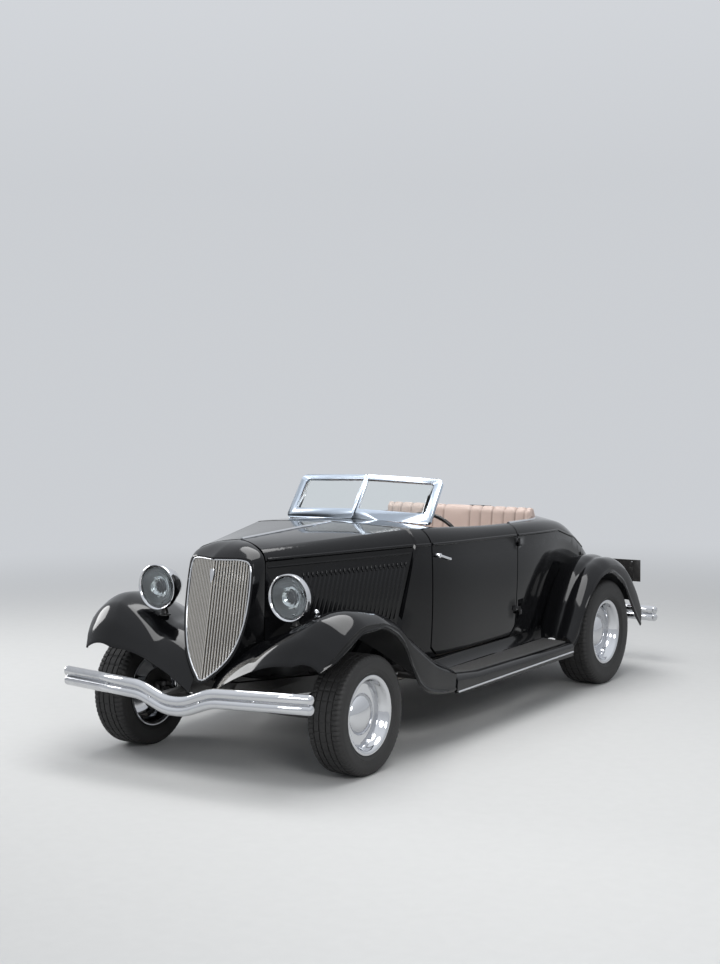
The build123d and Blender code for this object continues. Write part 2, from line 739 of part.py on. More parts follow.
# The ladder frame: two side rails that rise over the rear axle, and its crossmembers.
rail_x = rail_gap / 2
rail_top = rail_z + rail_height
kick_rise = 150
horn_y = front_axle_y - 330
tail_y = rear_axle_y + 690
kick_start_y = rear_axle_y - 380
kick_top_y = rear_axle_y - 170
kick_end_y = rear_axle_y + 190
kick_foot_y = rear_axle_y + 420
horn_rise = 45
horn_half = 150
rail_side = [
    (horn_y, rail_z + horn_rise), (front_axle_y + 250, rail_z), (kick_start_y, rail_z),
    (kick_top_y, rail_z + kick_rise), (kick_end_y, rail_z + kick_rise), (kick_foot_y, rail_z - 6),
    (tail_y, rail_z - 6),
]
rail_outline = rail_side + [(y, z + rail_height) for y, z in reversed(rail_side)]
rail_plan = Polyline(
    (horn_half, horn_y), (horn_half + rail_width, horn_y), (rail_x + rail_width, cowl_y),
    (rail_x + rail_width, tail_y), (rail_x, tail_y), (rail_x, cowl_y), close=True,
)
rail_column = extrude(make_face(rail_plan), 900)
rail = side_prism(rail_outline, 0, rail_x + rail_width) & rail_column
engine_front_y = front_axle_y + 75
tank_y0, tank_y1 = rear_axle_y + 210, rear_axle_y + 520
front_cross_z = rail_z + 19
dropped_cross_z = rail_z - 45
rear_cross_z = rail_z + kick_rise + 5
driveline_z = rail_z + 27
gearbox_radius = 42
cross_rows = [
    # y from, y to, z from, z to, half width
    (horn_y + 20, horn_y + 60, rail_z + horn_rise + 10, shell_rows[0][1] - seat_gap, horn_half + 20),
    (front_axle_y - 40, front_axle_y + 40, front_cross_z, rail_top + 12, 215),
    (cowl_y + 20, cowl_y + 80, dropped_cross_z, rail_top - 12, rail_x + 5),
    (door_mid_y, door_mid_y + 60, dropped_cross_z, rail_top - 12, rail_x + 5),
    (rear_axle_y - 30, rear_axle_y + 30, rear_cross_z, rail_top + kick_rise - 12, rail_x + 5),
    (tail_y - 60, tail_y, rail_z, rail_top - 12, rail_x + 5),
]
members = [block(-half, half, y0, y1, z0, z1) for y0, y1, z0, z1, half in cross_rows]
iron_x = 300
outrigger_rows = [cowl_y + 120, door_rear_y - 60]
arm_x = board_inner_x + board_sheet
apron_foot_z = 352
arm_top = apron_foot_z - seat_gap
arms = [block(rail_x + rail_width - 2, arm_x, y, y + 45, 316, arm_top) for y in outrigger_rows]
rear_iron = block(
    iron_x, iron_x + 12, tail_y - 120, rear_middle_y, rear_bumper_z - 20, rear_bumper_z + 20
)
rear_iron -= bumper(rear_bumper_path, rear_bend, bumper_tube + seat_gap)
iron_foot = block(iron_x, rail_x + 5, tail_y - 120, tail_y - 60, rail_z + 25, rail_z + 65)
iron_z = 418
front_iron = block(
    horn_half + 5, horn_half + 17, front_middle_y + 5, horn_y + 60, iron_z - 15, iron_z + 15
)
front_iron -= bumper(front_bumper_path, front_bend, bumper_tube + seat_gap)
side_parts = [rail, front_iron, rear_iron, iron_foot] + arms
frame = Part() + side_parts + [mirror(p, about=Plane.YZ) for p in side_parts] + members
notch_half = gearbox_radius + 14
notch_z = driveline_z - gearbox_radius - 4
frame -= block(-notch_half, notch_half, cowl_y, door_mid_y + 80, notch_z, rail_top + 10)
write("chassis_frame", frame)

# Floor, firewall foot and transmission cover lie on the rails.
floor_z = rail_top + seat_gap
floor_side = [
    # half width, y
    (480, cowl_y - 118), (505, cowl_y + 60), (522, door_front_y), (570, door_rear_y), (500, bulkhead_y - 1),
]
floor_plan = Polyline(*floor_side, *[(-x, y) for x, y in reversed(floor_side)], close=True)
floor = Pos(0, 0, floor_z) * extrude(make_face(floor_plan), floor_thick)
floor_top = floor_z + floor_thick
riser_y0, riser_y1 = door_rear_y - 30, bulkhead_y - 8
riser_top = 620
riser = block(-500, 500, riser_y0, riser_y1, floor_top, riser_top)
write("floor_pan", (floor + riser) - (outer_skin - body_solid(-body_wall - seat_gap)))

# The engine is one block on its mounts between the rails, with the gearbox behind it.
engine_half = 235
engine_z0 = 452
engine_z1 = 1010
engine_rear_y = cowl_y - 210
sump_z = 320
engine = block(-engine_half, engine_half, engine_front_y, engine_rear_y, engine_z0, engine_z1)
engine += block(-120, 120, engine_front_y, engine_rear_y, sump_z, engine_z0)
gearbox_end_y = cowl_y + 420
feet_y = engine_front_y + 200
foot_x1 = rail_x + rail_width - 20
foot = block(engine_half - 5, foot_x1, feet_y, feet_y + 80, rail_top + seat_gap, rail_top + 40)
engine += [foot, mirror(foot, about=Plane.YZ)]
engine += rod((0, engine_rear_y - 5, driveline_z), (0, gearbox_end_y, driveline_z), gearbox_radius)
write("engine_block", engine)

# Axles: a dropped beam in front, a tube with a centre housing behind, each on a cross leaf spring.
kingpin_x = kingpin_span / 2
beam_z = front_axle_z - 30
beam_half_high = 24
beam_deep = 36
kingpin_radius = 11
knuckle_gap = 2
beam_drop = 30
knuckle_z = beam_z + beam_drop


def axle_beam():
    drop_x = kingpin_x - 130
    low, high = beam_z - beam_half_high, beam_z + beam_half_high
    end_x = kingpin_x - 45
    right = [(drop_x, low), (end_x, low + beam_drop), (kingpin_x, low + beam_drop)]
    right += [(kingpin_x, high + beam_drop), (end_x, high + beam_drop), (drop_x, high)]
    points = right + [(-x, z) for x, z in reversed(right)]
    upright = Plane(origin=(0, front_axle_y + beam_deep / 2, 0), x_dir=(1, 0, 0), z_dir=(0, -1, 0))
    beam = extrude(upright * make_face(Polyline(*points, close=True)), beam_deep, dir=(0, -1, 0))
    for side in (-1, 1):
        place = Pos(side * kingpin_x, front_axle_y, knuckle_z)
        beam += [place * Cylinder(24, 2 * beam_half_high)]
        beam += [place * Cylinder(kingpin_radius, 2 * beam_half_high + 64)]
    return beam


perch_x = 330
leaf_thick = 26
leaf_bow = 16
front_leaf_end_z = front_cross_z - leaf_thick - seat_gap - leaf_bow
perch_half = 18
perch_top = front_leaf_end_z - seat_gap
perch_x0, perch_x1 = perch_x - perch_half, perch_x + perch_half
perch = block(perch_x0, perch_x1, front_axle_y - 16, front_axle_y + 16, beam_z, perch_top)
radius_rod = rod((perch_x - 30, front_axle_y + 14, beam_z), (120, cowl_y + 15, rail_z + 30), 13)
write("front_axle", axle_beam() + both_sides(perch) + both_sides(radius_rod))

axle_tube = 36
flange_x = rear_track / 2 - 70
housing = Pos(0, rear_axle_y, rear_axle_z) * Sphere(118)
rear_tube = rod((-flange_x, rear_axle_y, rear_axle_z), (flange_x, rear_axle_y, rear_axle_z), axle_tube)
stub_radius = 22
stub_end_x = rear_track / 2 + 20
stubs = rod((-stub_end_x, rear_axle_y, rear_axle_z), (stub_end_x, rear_axle_y, rear_axle_z), stub_radius)
torque_tube = rod((0, gearbox_end_y + 0.9, driveline_z), (0, rear_axle_y, rear_axle_z), 30)
rear_perch_top = rear_axle_z + 64
rear_perch = block(perch_x0, perch_x1, rear_axle_y - 16, rear_axle_y + 16, rear_axle_z, rear_perch_top)
write("rear_axle", housing + [rear_tube, stubs, torque_tube] + both_sides(rear_perch))


def cross_leaf(y, end_z, middle_z):
    """A bowed leaf spring across the car, from perch to perch."""
    spring_half = perch_x + perch_half
    upright = Plane(origin=(0, y + 22, 0), x_dir=(1, 0, 0), z_dir=(0, -1, 0))
    top_end_z, top_middle_z = end_z + leaf_thick, middle_z + leaf_thick
    lower = ThreePointArc((-spring_half, end_z), (0, middle_z), (spring_half, end_z))
    right_end = Line((spring_half, end_z), (spring_half, top_end_z))
    upper = ThreePointArc((spring_half, top_end_z), (0, top_middle_z), (-spring_half, top_end_z))
    left_end = Line((-spring_half, top_end_z), (-spring_half, end_z))
    return extrude(upright * make_face([lower, right_end, upper, left_end]), 44, dir=(0, -1, 0))


front_leaf = cross_leaf(front_axle_y, front_leaf_end_z, front_cross_z - leaf_thick - seat_gap)
rear_leaf = cross_leaf(rear_axle_y, rear_perch_top + seat_gap, rear_cross_z - leaf_thick - seat_gap)
write("leaf_springs", front_leaf, rear_leaf)

# Steering: a knuckle on each kingpin, and a tie rod across them.
fork_high = 24
arm_z = knuckle_z - beam_half_high - knuckle_gap - 12


def knuckle():
    """The left knuckle: a fork round the beam's end, a stub for the wheel and an arm to the rear."""
    x, y = kingpin_x, front_axle_y
    bore = kingpin_radius + 0.05
    ears = []
    for side in (-1, 1):
        ear_z = knuckle_z + side * (beam_half_high + knuckle_gap + fork_high / 2)
        ear = Pos(x, y, ear_z) * Cylinder(24, fork_high)
        bridge = block(x, x + 44, y - 22, y + 22, ear_z - fork_high / 2, ear_z + fork_high / 2)
        ears.append((ear + bridge) - Pos(x, y, ear_z) * Cylinder(bore, fork_high * 2))
    web = block(x + 30, x + 44, y - 22, y + 22, knuckle_z - 50, knuckle_z + 50)
    plate = Pos(x + 49, y, front_axle_z) * Rot(0, 90, 0) * Cylinder(120, 10)
    stub = rod((x + 50, y, front_axle_z), (front_track / 2 + 20, y, front_axle_z), stub_radius)
    arm = block(x - 14, x + 14, y + 15, y + steer_arm, arm_z - 12, arm_z + 12)
    eye = Pos(x, y + steer_arm, arm_z) * Cylinder(20, 24)
    bolt = Pos(x, y + steer_arm, arm_z - 30) * Cylinder(8, 44)
    return web + ears + [plate, stub, arm, eye, bolt]


knuckle_left = knuckle()
write("knuckle_left", knuckle_left)
write("knuckle_right", mirror(knuckle_left, about=Plane.YZ))
tie_z = arm_z - 12 - 3 - 16
tie_y = front_axle_y + steer_arm
tie = rod((-kingpin_x, tie_y, tie_z), (kingpin_x, tie_y, tie_z), 12)
bolt_radius = 8
open_slack = 3
tie += [Pos(side * kingpin_x, tie_y, tie_z) * Cylinder(21, 28) for side in (-1, 1)]
tie -= Pos(kingpin_x, tie_y, tie_z) * Cylinder(bolt_radius + 0.05, 60)
tie -= Pos(-kingpin_x, tie_y, tie_z) * Cylinder(bolt_radius + open_slack, 60)
write("tie_rod", tie)


# Wheels and tyres are turned about their axle. Their outlines are (out along the axle, radius) pairs.
rim_radius = rim_dia / 2
lip_radius = rim_lip_dia / 2
bead_share = 0.8
flange = 8
disc_out = 20
axle_section = Plane(origin=(0, 0, 0), x_dir=(1, 0, 0), z_dir=(0, -1, 0))


def tyre(width, dia):
    """A tyre as a closed ring with round shoulders, seated on the rim."""
    half, outer, seat = width / 2, dia / 2, rim_radius + seat_gap
    tread_half, bead = half * 0.76, half * bead_share
    bead_top = lip_radius + 1
    wall = (outer + bead_top) / 2
    edges = [
        Line((-bead, seat), (bead, seat)),
        Line((bead, seat), (bead, bead_top)),
        ThreePointArc((bead, bead_top), (half * 0.96, bead_top + 16), (half, wall)),
        ThreePointArc((half, wall), (half * 0.95, outer - 18), (tread_half, outer)),
        Line((tread_half, outer), (-tread_half, outer)),
        ThreePointArc((-tread_half, outer), (-half * 0.95, outer - 18), (-half, wall)),
        ThreePointArc((-half, wall), (-half * 0.96, bead_top + 16), (-bead, bead_top)),
        Line((-bead, bead_top), (-bead, seat)),
    ]
    return revolve(axle_section * make_face(edges), axis=Axis.X)


def wheel(width):
    """A steel wheel for the left side: a lipped rim, a dished disc, a hub and a round cap."""
    edge = width / 2 * bead_share + seat_gap
    bore = stub_radius + 0.05
    cap_radius = cap_dia / 2
    rim_outline = Polyline(
        (disc_out + 8, cap_radius), (disc_out + 8, 156), (edge - 34, 162), (edge - 20, 180),
        (edge - 2, 184),
        (edge + flange, 198), (edge + flange, lip_radius), (edge, lip_radius), (edge, rim_radius),
        (-edge, rim_radius), (-edge, lip_radius), (-edge - flange, lip_radius), (-edge - flange, 198),
        (-edge + 4, 184), (disc_out - 16, 182), (disc_out, 150), (disc_out, 62), (-40, 58), (-40, bore),
        (disc_out + 34, bore), (disc_out + 34, 0), (disc_out + 46, 0),
    )
    cap = ThreePointArc((disc_out + 46, 0), (disc_out + 35, cap_radius * 0.66), (disc_out + 8, cap_radius))
    return revolve(axle_section * make_face([*rim_outline.edges(), cap]), axis=Axis.X)


corners = [
    # name, track, axle y, axle z, width, tyre diameter
    ("front", front_track, front_axle_y, front_axle_z, front_tyre_width, front_tyre_dia),
    ("rear", rear_track, rear_axle_y, rear_axle_z, rear_tyre_width, rear_tyre_dia),
]
for end, track, y, z, width, dia in corners:
    place = Pos(track / 2, y, z)
    for side, left in (("left", True), ("right", False)):
        rubber, steel = place * tyre(width, dia), place * wheel(width)
        if not left:
            rubber, steel = mirror(rubber, about=Plane.YZ), mirror(steel, about=Plane.YZ)
        write(f"tyre_{end}_{side}", rubber)
        write(f"wheel_{end}_{side}", steel)

# Exhaust: a pipe under each rail with a muffler, hung from the dropped crossmembers.
pipe_x = 262
pipe_z = 268
pipe_radius = 19
muffler_radius = 52
pipe_end_y = car_rear_y - 70
pipe_start_y = engine_rear_y - 150
pipe_wall = 2.5
pipe_head = (pipe_x, pipe_start_y, engine_z0 + 30)
pipe_points = [pipe_head, (pipe_x, pipe_start_y, pipe_z), (pipe_x, pipe_end_y, pipe_z)]
pipe = bent_tube(pipe_points, 60, pipe_radius, pipe_radius - pipe_wall)
muffler = rod((pipe_x, door_mid_y + 160, pipe_z), (pipe_x, door_mid_y + 700, pipe_z), muffler_radius)
manifold = block(
    engine_half + seat_gap, pipe_x + 24, pipe_start_y - 60, pipe_start_y + 40,
    engine_z0 + 28, engine_z0 + 78,
)
hanger_rows = [
    # y, underside of the crossmember
    (cowl_y + 35, dropped_cross_z),
    (door_mid_y + 15, dropped_cross_z),
    (tail_y - 45, rail_z),
]
pipe_top = pipe_z + pipe_radius - 2
hangers = [block(pipe_x - 12, pipe_x + 12, y, y + 25, pipe_top, z - seat_gap) for y, z in hanger_rows]
write("exhaust", *both_sides(pipe + [muffler, manifold] + hangers))

# The fuel tank hangs under the boot floor between the rails.
tank = block(-rail_x + 20, rail_x - 20, tank_y0, tank_y1, rail_z + 20, boot_floor_z - seat_gap)
write("fuel_tank", tank)

# Headlamps: a deep round bucket with a flat lens, on a short stand on each front fender.
lamp_x, lamp_y, lamp_z = 437, front_axle_y - 206, 925
lamp_radius = lamp_dia / 2
lens_radius = lamp_radius - 15
lens_thick = 6
turn_plane = Plane(origin=(0, 0, 0), x_dir=(1, 0, 0), z_dir=(0, 0, 1))


def lamp_bucket():
    """The bucket, drawn as (radius, how far behind the rim) and turned about the lamp's axis."""
    r = lamp_radius
    seat = lens_radius + 1
    outer = Polyline(
        (0, 176), (26, 172), (62, 150), (94, 104), (r - 12, 52), (r - 6, 30), (r - 1, 26), (r, 14),
        (r - 4, 0),
    )
    inner = Polyline(
        (r - 4, 0), (seat, 0), (seat, lens_thick + 5), (lens_radius - 6, lens_thick + 5),
        (r - 26, 60), (80, 110), (50, 140), (0, 160), (0, 176),
    )
    face = turn_plane * make_face([*outer.edges(), *inner.edges()])
    return revolve(face, axis=Axis.Y)


place = Pos(lamp_x, lamp_y, lamp_z)
stand = rod((lamp_x, lamp_y + 70, lamp_z - 60), (lamp_x, lamp_y + 70, 640), 15)
stand -= Pos(0, 0, seat_gap) * front_fender
stand = stand.solids().sort_by(Axis.Z)[-1] - place * Pos(0, 70, 0) * Cylinder(60, 60)
lamp = place * lamp_bucket() + stand
write("headlamps", *both_sides(lamp))
lens = place * Rot(90, 0, 0) * Cylinder(lens_radius + 0.7, lens_thick)
lens = Pos(0, lens_thick / 2 + 4.7, 0) * lens
write("headlamp_lenses", *both_sides(lens))

# Tail lamps: a bullet on an arm from each rear bumper iron. The left arm also carries the plate.
tail_lamp_x, tail_lamp_y, tail_lamp_z = 640, rear_axle_y + 800, 500
bullet = Polyline((0, -78), (14, -74), (28, -50), (35, -10), (35, 0))
back = Polyline((35, 0), (30, 12), (16, 20), (0, 22), (0, -78))
bullet_solid = revolve(turn_plane * make_face([*bullet.edges(), *back.edges()]), axis=Axis.Y)
lamp_arm = rod((iron_x + 12.3, tail_lamp_y - 20, 400), (tail_lamp_x, tail_lamp_y - 20, tail_lamp_z), 10)
lamp_foot = block(iron_x + 12.3, iron_x + 26, tail_lamp_y - 34, tail_lamp_y - 6, 340, 412)
tail_lamp = Pos(tail_lamp_x, tail_lamp_y, tail_lamp_z) * bullet_solid + [lamp_arm, lamp_foot]
write("tail_lamps", *both_sides(tail_lamp))
plate_wide, plate_high, plate_thick = 305, 152, 3
plate_x, plate_z = 560, 640
plate_y = tail_lamp_y + 22.3
plate = block(
    plate_x - plate_wide / 2, plate_x + plate_wide / 2, plate_y, plate_y + plate_thick,
    plate_z - plate_high / 2, plate_z + plate_high / 2,
)
plate_hole_radius = 3.5
plate_hole_span = 178
for side in (-1, 1):
    hole = Pos(plate_x + side * plate_hole_span / 2, tail_lamp_y + 20, plate_z + plate_high / 2 - 14)
    plate -= hole * Rot(90, 0, 0) * Cylinder(plate_hole_radius, 40)
plate_back = block(
    tail_lamp_x - 15, tail_lamp_x + 15, tail_lamp_y + 16, plate_y, tail_lamp_z, plate_z + 20
)
write("number_plate", plate + plate_back - tail_lamp)

# Cockpit: a bench seat and its back, the dashboard, the steering column and wheel.
seat_half = 545
cushion_top, cushion_front_z = 800, 815
cushion_y0, cushion_y1, seat_foot_z = riser_y0 - 40, riser_y1 - 165, riser_top + seat_gap
cushion_side = [
    (cushion_y0, seat_foot_z), (cushion_y1, seat_foot_z), (cushion_y1, cushion_top),
    (cushion_y0 + 30, cushion_front_z), (cushion_y0, cushion_front_z - 30),
]
cushion = side_prism(cushion_side, -seat_half, seat_half)
seat_room = (outer_skin - body_solid(-body_wall - 16)) - cockpit_cut()
cushion -= seat_room
write("seat_cushion", cushion)
back_foot_y = cushion_y1 + 2
seat_top_z = 1200
seat_back_side = [
    (back_foot_y, seat_foot_z), (riser_y1, seat_foot_z), (riser_y1 - 6, seat_top_z - 60),
    (riser_y1 - 40, seat_top_z - 8), (riser_y1 - 76, seat_top_z), (riser_y1 - 112, seat_top_z - 26),
    (back_foot_y, cushion_top + 10),
]
write("seat_back", side_prism(seat_back_side, -seat_half, seat_half) - seat_room)

dash_half = 530
dash_y = cockpit_y - 30
dash_low = 985
dash = block(-dash_half, dash_half, dash_y, dash_y + 22, dash_low, top_limit)
dash = dash & body_solid(-body_wall - seat_gap)
column_x = 330
column_foot = Vector(column_x, cowl_y - 90, 660)
wheel_centre = Vector(column_x, cowl_y + 640, 1050)
column_radius = 19
column_way = (wheel_centre - column_foot).normalized()
to_dash = (dash_y - column_foot.Y) / column_way.Y
dash_column_z = column_foot.Z + column_way.Z * to_dash
drop = block(column_x - 28, column_x + 28, dash_y, dash_y + 22, dash_column_z - 34, dash_low + 5)
column_bore = rod(column_foot, wheel_centre, column_radius + seat_gap)
write("dashboard", dash + drop - column_bore)
column = rod(column_foot, wheel_centre - column_way * 26, column_radius) & behind_hood(panel_gap / 2 + 14.3)
write("steering_column", column)

wheel_radius = 195
wheel_plane = Plane(origin=wheel_centre, x_dir=(1, 0, 0), z_dir=-column_way)
steering = wheel_plane * Torus(wheel_radius, 12)
hub = rod(wheel_centre - column_way * 25.7, wheel_centre + column_way * 12, 34)
steering += hub
for angle in (20, 160, 270):
    turn = math.radians(angle)
    reach = wheel_plane * Pos(wheel_radius * math.cos(turn), wheel_radius * math.sin(turn), 0)
    steering += rod(wheel_centre, reach.position, 8)
write("steering_wheel", steering)

# Door handles: a lever on a boss near each door's front edge.
handle_y, handle_z = door_front_y + 34, 1030
handle_face_x = 632


def handle():
    """A round boss on the door's skin with a lever that runs back from it."""
    out_x = handle_face_x + 22
    tip = (out_x, handle_y + 104, handle_z - 30)
    boss = rod((560, handle_y, handle_z), (out_x, handle_y, handle_z), 13)
    lever = rod((out_x - 6, handle_y - 4, handle_z + 2), tip, 8)
    return (boss + lever + Pos(*tip) * Sphere(9)) - body_cut


handle_left = handle()
write("door_handle_left", handle_left)
write("door_handle_right", mirror(handle_left, about=Plane.YZ))
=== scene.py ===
import json
import math
import bmesh
import bpy
import numpy as np
from mathutils import Matrix, Vector
from mathutils.bvhtree import BVHTree

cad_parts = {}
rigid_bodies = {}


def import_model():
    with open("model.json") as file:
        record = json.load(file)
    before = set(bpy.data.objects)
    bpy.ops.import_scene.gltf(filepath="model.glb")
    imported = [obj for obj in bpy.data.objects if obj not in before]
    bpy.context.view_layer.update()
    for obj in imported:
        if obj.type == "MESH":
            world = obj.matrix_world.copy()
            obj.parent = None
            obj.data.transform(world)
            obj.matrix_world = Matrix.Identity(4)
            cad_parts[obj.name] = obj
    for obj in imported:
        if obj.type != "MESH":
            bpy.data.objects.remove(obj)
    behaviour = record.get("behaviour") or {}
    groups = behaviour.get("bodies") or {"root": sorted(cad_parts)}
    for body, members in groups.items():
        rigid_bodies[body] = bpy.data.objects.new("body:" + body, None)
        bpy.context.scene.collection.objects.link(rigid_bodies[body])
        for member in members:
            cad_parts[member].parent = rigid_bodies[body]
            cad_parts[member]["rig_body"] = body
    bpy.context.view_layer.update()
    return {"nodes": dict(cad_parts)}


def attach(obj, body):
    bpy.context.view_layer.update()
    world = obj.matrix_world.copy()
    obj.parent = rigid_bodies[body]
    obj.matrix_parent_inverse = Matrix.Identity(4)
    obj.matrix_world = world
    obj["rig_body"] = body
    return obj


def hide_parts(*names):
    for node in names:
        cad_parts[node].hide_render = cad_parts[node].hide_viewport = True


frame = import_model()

# The studio: the car stands on a plain pale floor under a broad overhead lamp, with a smaller lamp ahead of
# its front left corner and one at its right. Away from the car the floor fades into the grey of the backdrop.
# The camera stands ahead of the left front corner, above the height of the windscreen.
scene = bpy.context.scene
scene.view_settings.view_transform = "Standard"

lens_mm = 63.19
eye = Vector((5.4447, -8.8285, 2.1809))
look_yaw, look_pitch, look_roll = 0.57336, 0.07607, -0.01114

forward = Vector((
    -math.sin(look_yaw) * math.cos(look_pitch),
    math.cos(look_yaw) * math.cos(look_pitch),
    -math.sin(look_pitch),
))
level_right = Vector((math.cos(look_yaw), math.sin(look_yaw), 0))
level_up = level_right.cross(forward)
right = level_right * math.cos(look_roll) + level_up * math.sin(look_roll)
up = level_up * math.cos(look_roll) - level_right * math.sin(look_roll)
camera_data = bpy.data.cameras.new("camera")
camera_data.lens = lens_mm
camera_data.sensor_width = 36
camera = bpy.data.objects.new("camera", camera_data)
camera.rotation_mode = "QUATERNION"
facing = [[right[i], up[i], -forward[i]] for i in range(3)]
camera.rotation_quaternion = Matrix(facing).to_quaternion()
camera.location = eye
scene.collection.objects.link(camera)
scene.camera = camera


def adder(tree):
    """Short ways to add a node to a tree, and to set or link a node's inputs."""
    def feed(node, inputs):
        for key, value in inputs.items():
            if isinstance(value, bpy.types.NodeSocket):
                tree.links.new(value, node.inputs[key])
            else:
                node.inputs[key].default_value = value

    def add(kind, inputs=(), **settings):
        made = tree.nodes.new(kind)
        for key, value in settings.items():
            setattr(made, key, value)
        feed(made, dict(inputs))
        return made

    return add, feed


def wired(name):
    """A new node material with its shader, and the short ways to fill its tree."""
    block = bpy.data.materials.new(name)
    block.use_nodes = True
    tree = block.node_tree
    return (block, tree.nodes["Principled BSDF"], *adder(tree))


def noise(add, scale, detail):
    """Unevenness of a given fineness, fixed to the piece."""
    spot = add("ShaderNodeTexCoord").outputs["Object"]
    return add("ShaderNodeTexNoise", {"Vector": spot, "Scale": scale, "Detail": detail}).outputs["Fac"]


def mixed(add, share, first, second):
    """A colour between two others, of which the first may come from another node."""
    first = first if isinstance(first, bpy.types.NodeSocket) else (*first, 1)
    return add("ShaderNodeMix", {"Factor": share, 6: first, 7: (*second, 1)}, data_type="RGBA").outputs[2]


def seen_by_camera(add):
    """One for what the camera sees straight, in a mirror or through glass, and nought for other light."""
    paths = add("ShaderNodeLightPath")
    seen = add("ShaderNodeMath", {0: paths.outputs["Is Camera Ray"], 1: paths.outputs["Is Glossy Ray"]},
               operation="ADD")
    through = paths.outputs["Is Transmission Ray"]
    return add("ShaderNodeMath", {0: seen.outputs[0], 1: through}, operation="ADD", use_clamp=True).outputs[0]


floor_mesh = bpy.data.meshes.new("floor")
floor_mesh.from_pydata([(-70, -70, 0), (70, -70, 0), (70, 70, 0), (-70, 70, 0)], [], [(0, 1, 2, 3)])
floor = bpy.data.objects.new("floor", floor_mesh)
scene.collection.objects.link(floor)
backdrop_grey = (0.60, 0.62, 0.65, 1)
floor_pale, shader, add, feed = wired("floor_pale")
shade = mixed(add, noise(add, 14.0, 4.0), (0.60, 0.60, 0.59), (0.64, 0.64, 0.63))
feed(shader, {"Base Color": shade, "Roughness": 0.7})
reach = add("ShaderNodeVectorMath", {0: add("ShaderNodeTexCoord").outputs["Object"]}, operation="LENGTH")
far = add("ShaderNodeMapRange", {"Value": reach.outputs["Value"], "From Min": 3.4, "From Max": 9.5},
          interpolation_type="SMOOTHSTEP")
share = add("ShaderNodeMath", {0: far.outputs[0], 1: seen_by_camera(add)}, operation="MULTIPLY")
glow = add("ShaderNodeEmission", {"Color": backdrop_grey})
blend = add("ShaderNodeMixShader", {0: share.outputs[0], 1: shader.outputs[0], 2: glow.outputs[0]})
feed(floor_pale.node_tree.nodes["Material Output"], {"Surface": blend.outputs[0]})
floor_mesh.materials.append(floor_pale)

world = bpy.data.worlds.new("studio")
scene.world = world
world.use_nodes = True
world.node_tree.nodes.clear()
add = adder(world.node_tree)[0]
height = add("ShaderNodeSeparateXYZ", {0: add("ShaderNodeTexCoord").outputs["Generated"]})
rise = add("ShaderNodeValToRGB", {"Fac": height.outputs["Z"]})
low_sky, high_sky = rise.color_ramp.elements
low_sky.position, low_sky.color = 0.1, backdrop_grey
high_sky.position, high_sky.color = 0.8, (0.92, 0.95, 1.0, 1)
backdrop = add("ShaderNodeBackground", {"Color": rise.outputs["Color"]})
ambient = add("ShaderNodeBackground", {"Color": (0.9, 0.94, 1.0, 1), "Strength": 0.45})
either = add("ShaderNodeMixShader", {0: seen_by_camera(add), 1: ambient.outputs[0], 2: backdrop.outputs[0]})
add("ShaderNodeOutputWorld", {"Surface": either.outputs[0]})

lamps = [
    # name, place, width, height, watts
    ("overhead", (0.3, -0.2, 5.5), 3.2, 6.4, 270),
    ("front_left", (5.5, -5.5, 3.8), 2.8, 1.9, 150),
    ("right", (-6.0, -1.5, 3.2), 2.8, 2.2, 110),
]
for name, at, wide, high, watts in lamps:
    lamp = bpy.data.lights.new(name, "AREA")
    lamp.shape, lamp.size, lamp.size_y, lamp.energy = "ELLIPSE", wide, high, watts
    holder = bpy.data.objects.new(name, lamp)
    holder.location = at
    holder.rotation_euler = (Vector((0, 0, 0.5)) - Vector(at)).to_track_quat("-Z", "Y").to_euler()
    scene.collection.objects.link(holder)


# The ladder frame, axles, springs, tie rod and fuel tank: pressed and forged steel under satin black paint,
# with road dust low down. They keep the CAD shapes, with the edges rounded off in the shading.
def spread(add, share, low, high):
    """A number that wanders between two values."""
    return add("ShaderNodeMapRange", {"Value": share, "To Min": low, "To Max": high}).outputs[0]


def dented(add, height, strength, depth):
    """A surface direction that follows fine dents."""
    return add("ShaderNodeBump", {"Height": height, "Strength": strength, "Distance": depth}).outputs[0]


def satin(name, colour, roughness, dust, metallic=0.0, scale=30.0):
    """A plain sprayed or cast finish with fine unevenness and some dust in it."""
    block, shader, add, feed = wired(name)
    fleck = noise(add, scale, 6.0)
    feed(shader, {
        "Base Color": mixed(add, fleck, colour, dust), "Normal": dented(add, fleck, 0.08, 0.002),
        "Roughness": spread(add, fleck, roughness * 0.8, roughness * 1.25), "Metallic": metallic,
    })
    return block


def merged(mesh, gap, clean=None):
    """Joins a mesh's points that lie within a gap, cleans it by one more step and shades it smoothly."""
    work = bmesh.new()
    work.from_mesh(mesh)
    bmesh.ops.remove_doubles(work, verts=work.verts, dist=gap)
    if clean:
        clean(work)
    work.to_mesh(mesh)
    work.free()
    mesh.polygons.foreach_set("use_smooth", [True] * len(mesh.polygons))


def placed(name, mesh, body="chassis", replaced=()):
    """A finished piece on its body, in place of the CAD nodes that it replaces."""
    piece = bpy.data.objects.new(name, mesh)
    scene.collection.objects.link(piece)
    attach(piece, body)
    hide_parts(*replaced)
    return piece


def body_of(node):
    return frame["nodes"][node]["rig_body"]


def rounded_copy(node, material, angle=32):
    """The node's own shape, merged and smoothly shaded up to an angle, in place of its loose triangles."""
    mesh = frame["nodes"][node].data.copy()
    merged(mesh, 0.00002, lambda work: bmesh.ops.dissolve_degenerate(work, edges=work.edges, dist=0.00002))
    mesh.set_sharp_from_angle(angle=math.radians(angle))
    mesh.materials.clear()
    mesh.materials.append(material)
    return placed(node + "_finish", mesh, body_of(node), [node])


frame_black = satin("frame_black", (0.012, 0.012, 0.013), 0.38, (0.03, 0.028, 0.026))
for node in ("chassis_frame", "front_axle", "rear_axle", "leaf_springs", "knuckle_left", "knuckle_right",
             "tie_rod", "fuel_tank"):
    rounded_copy(node, frame_black)

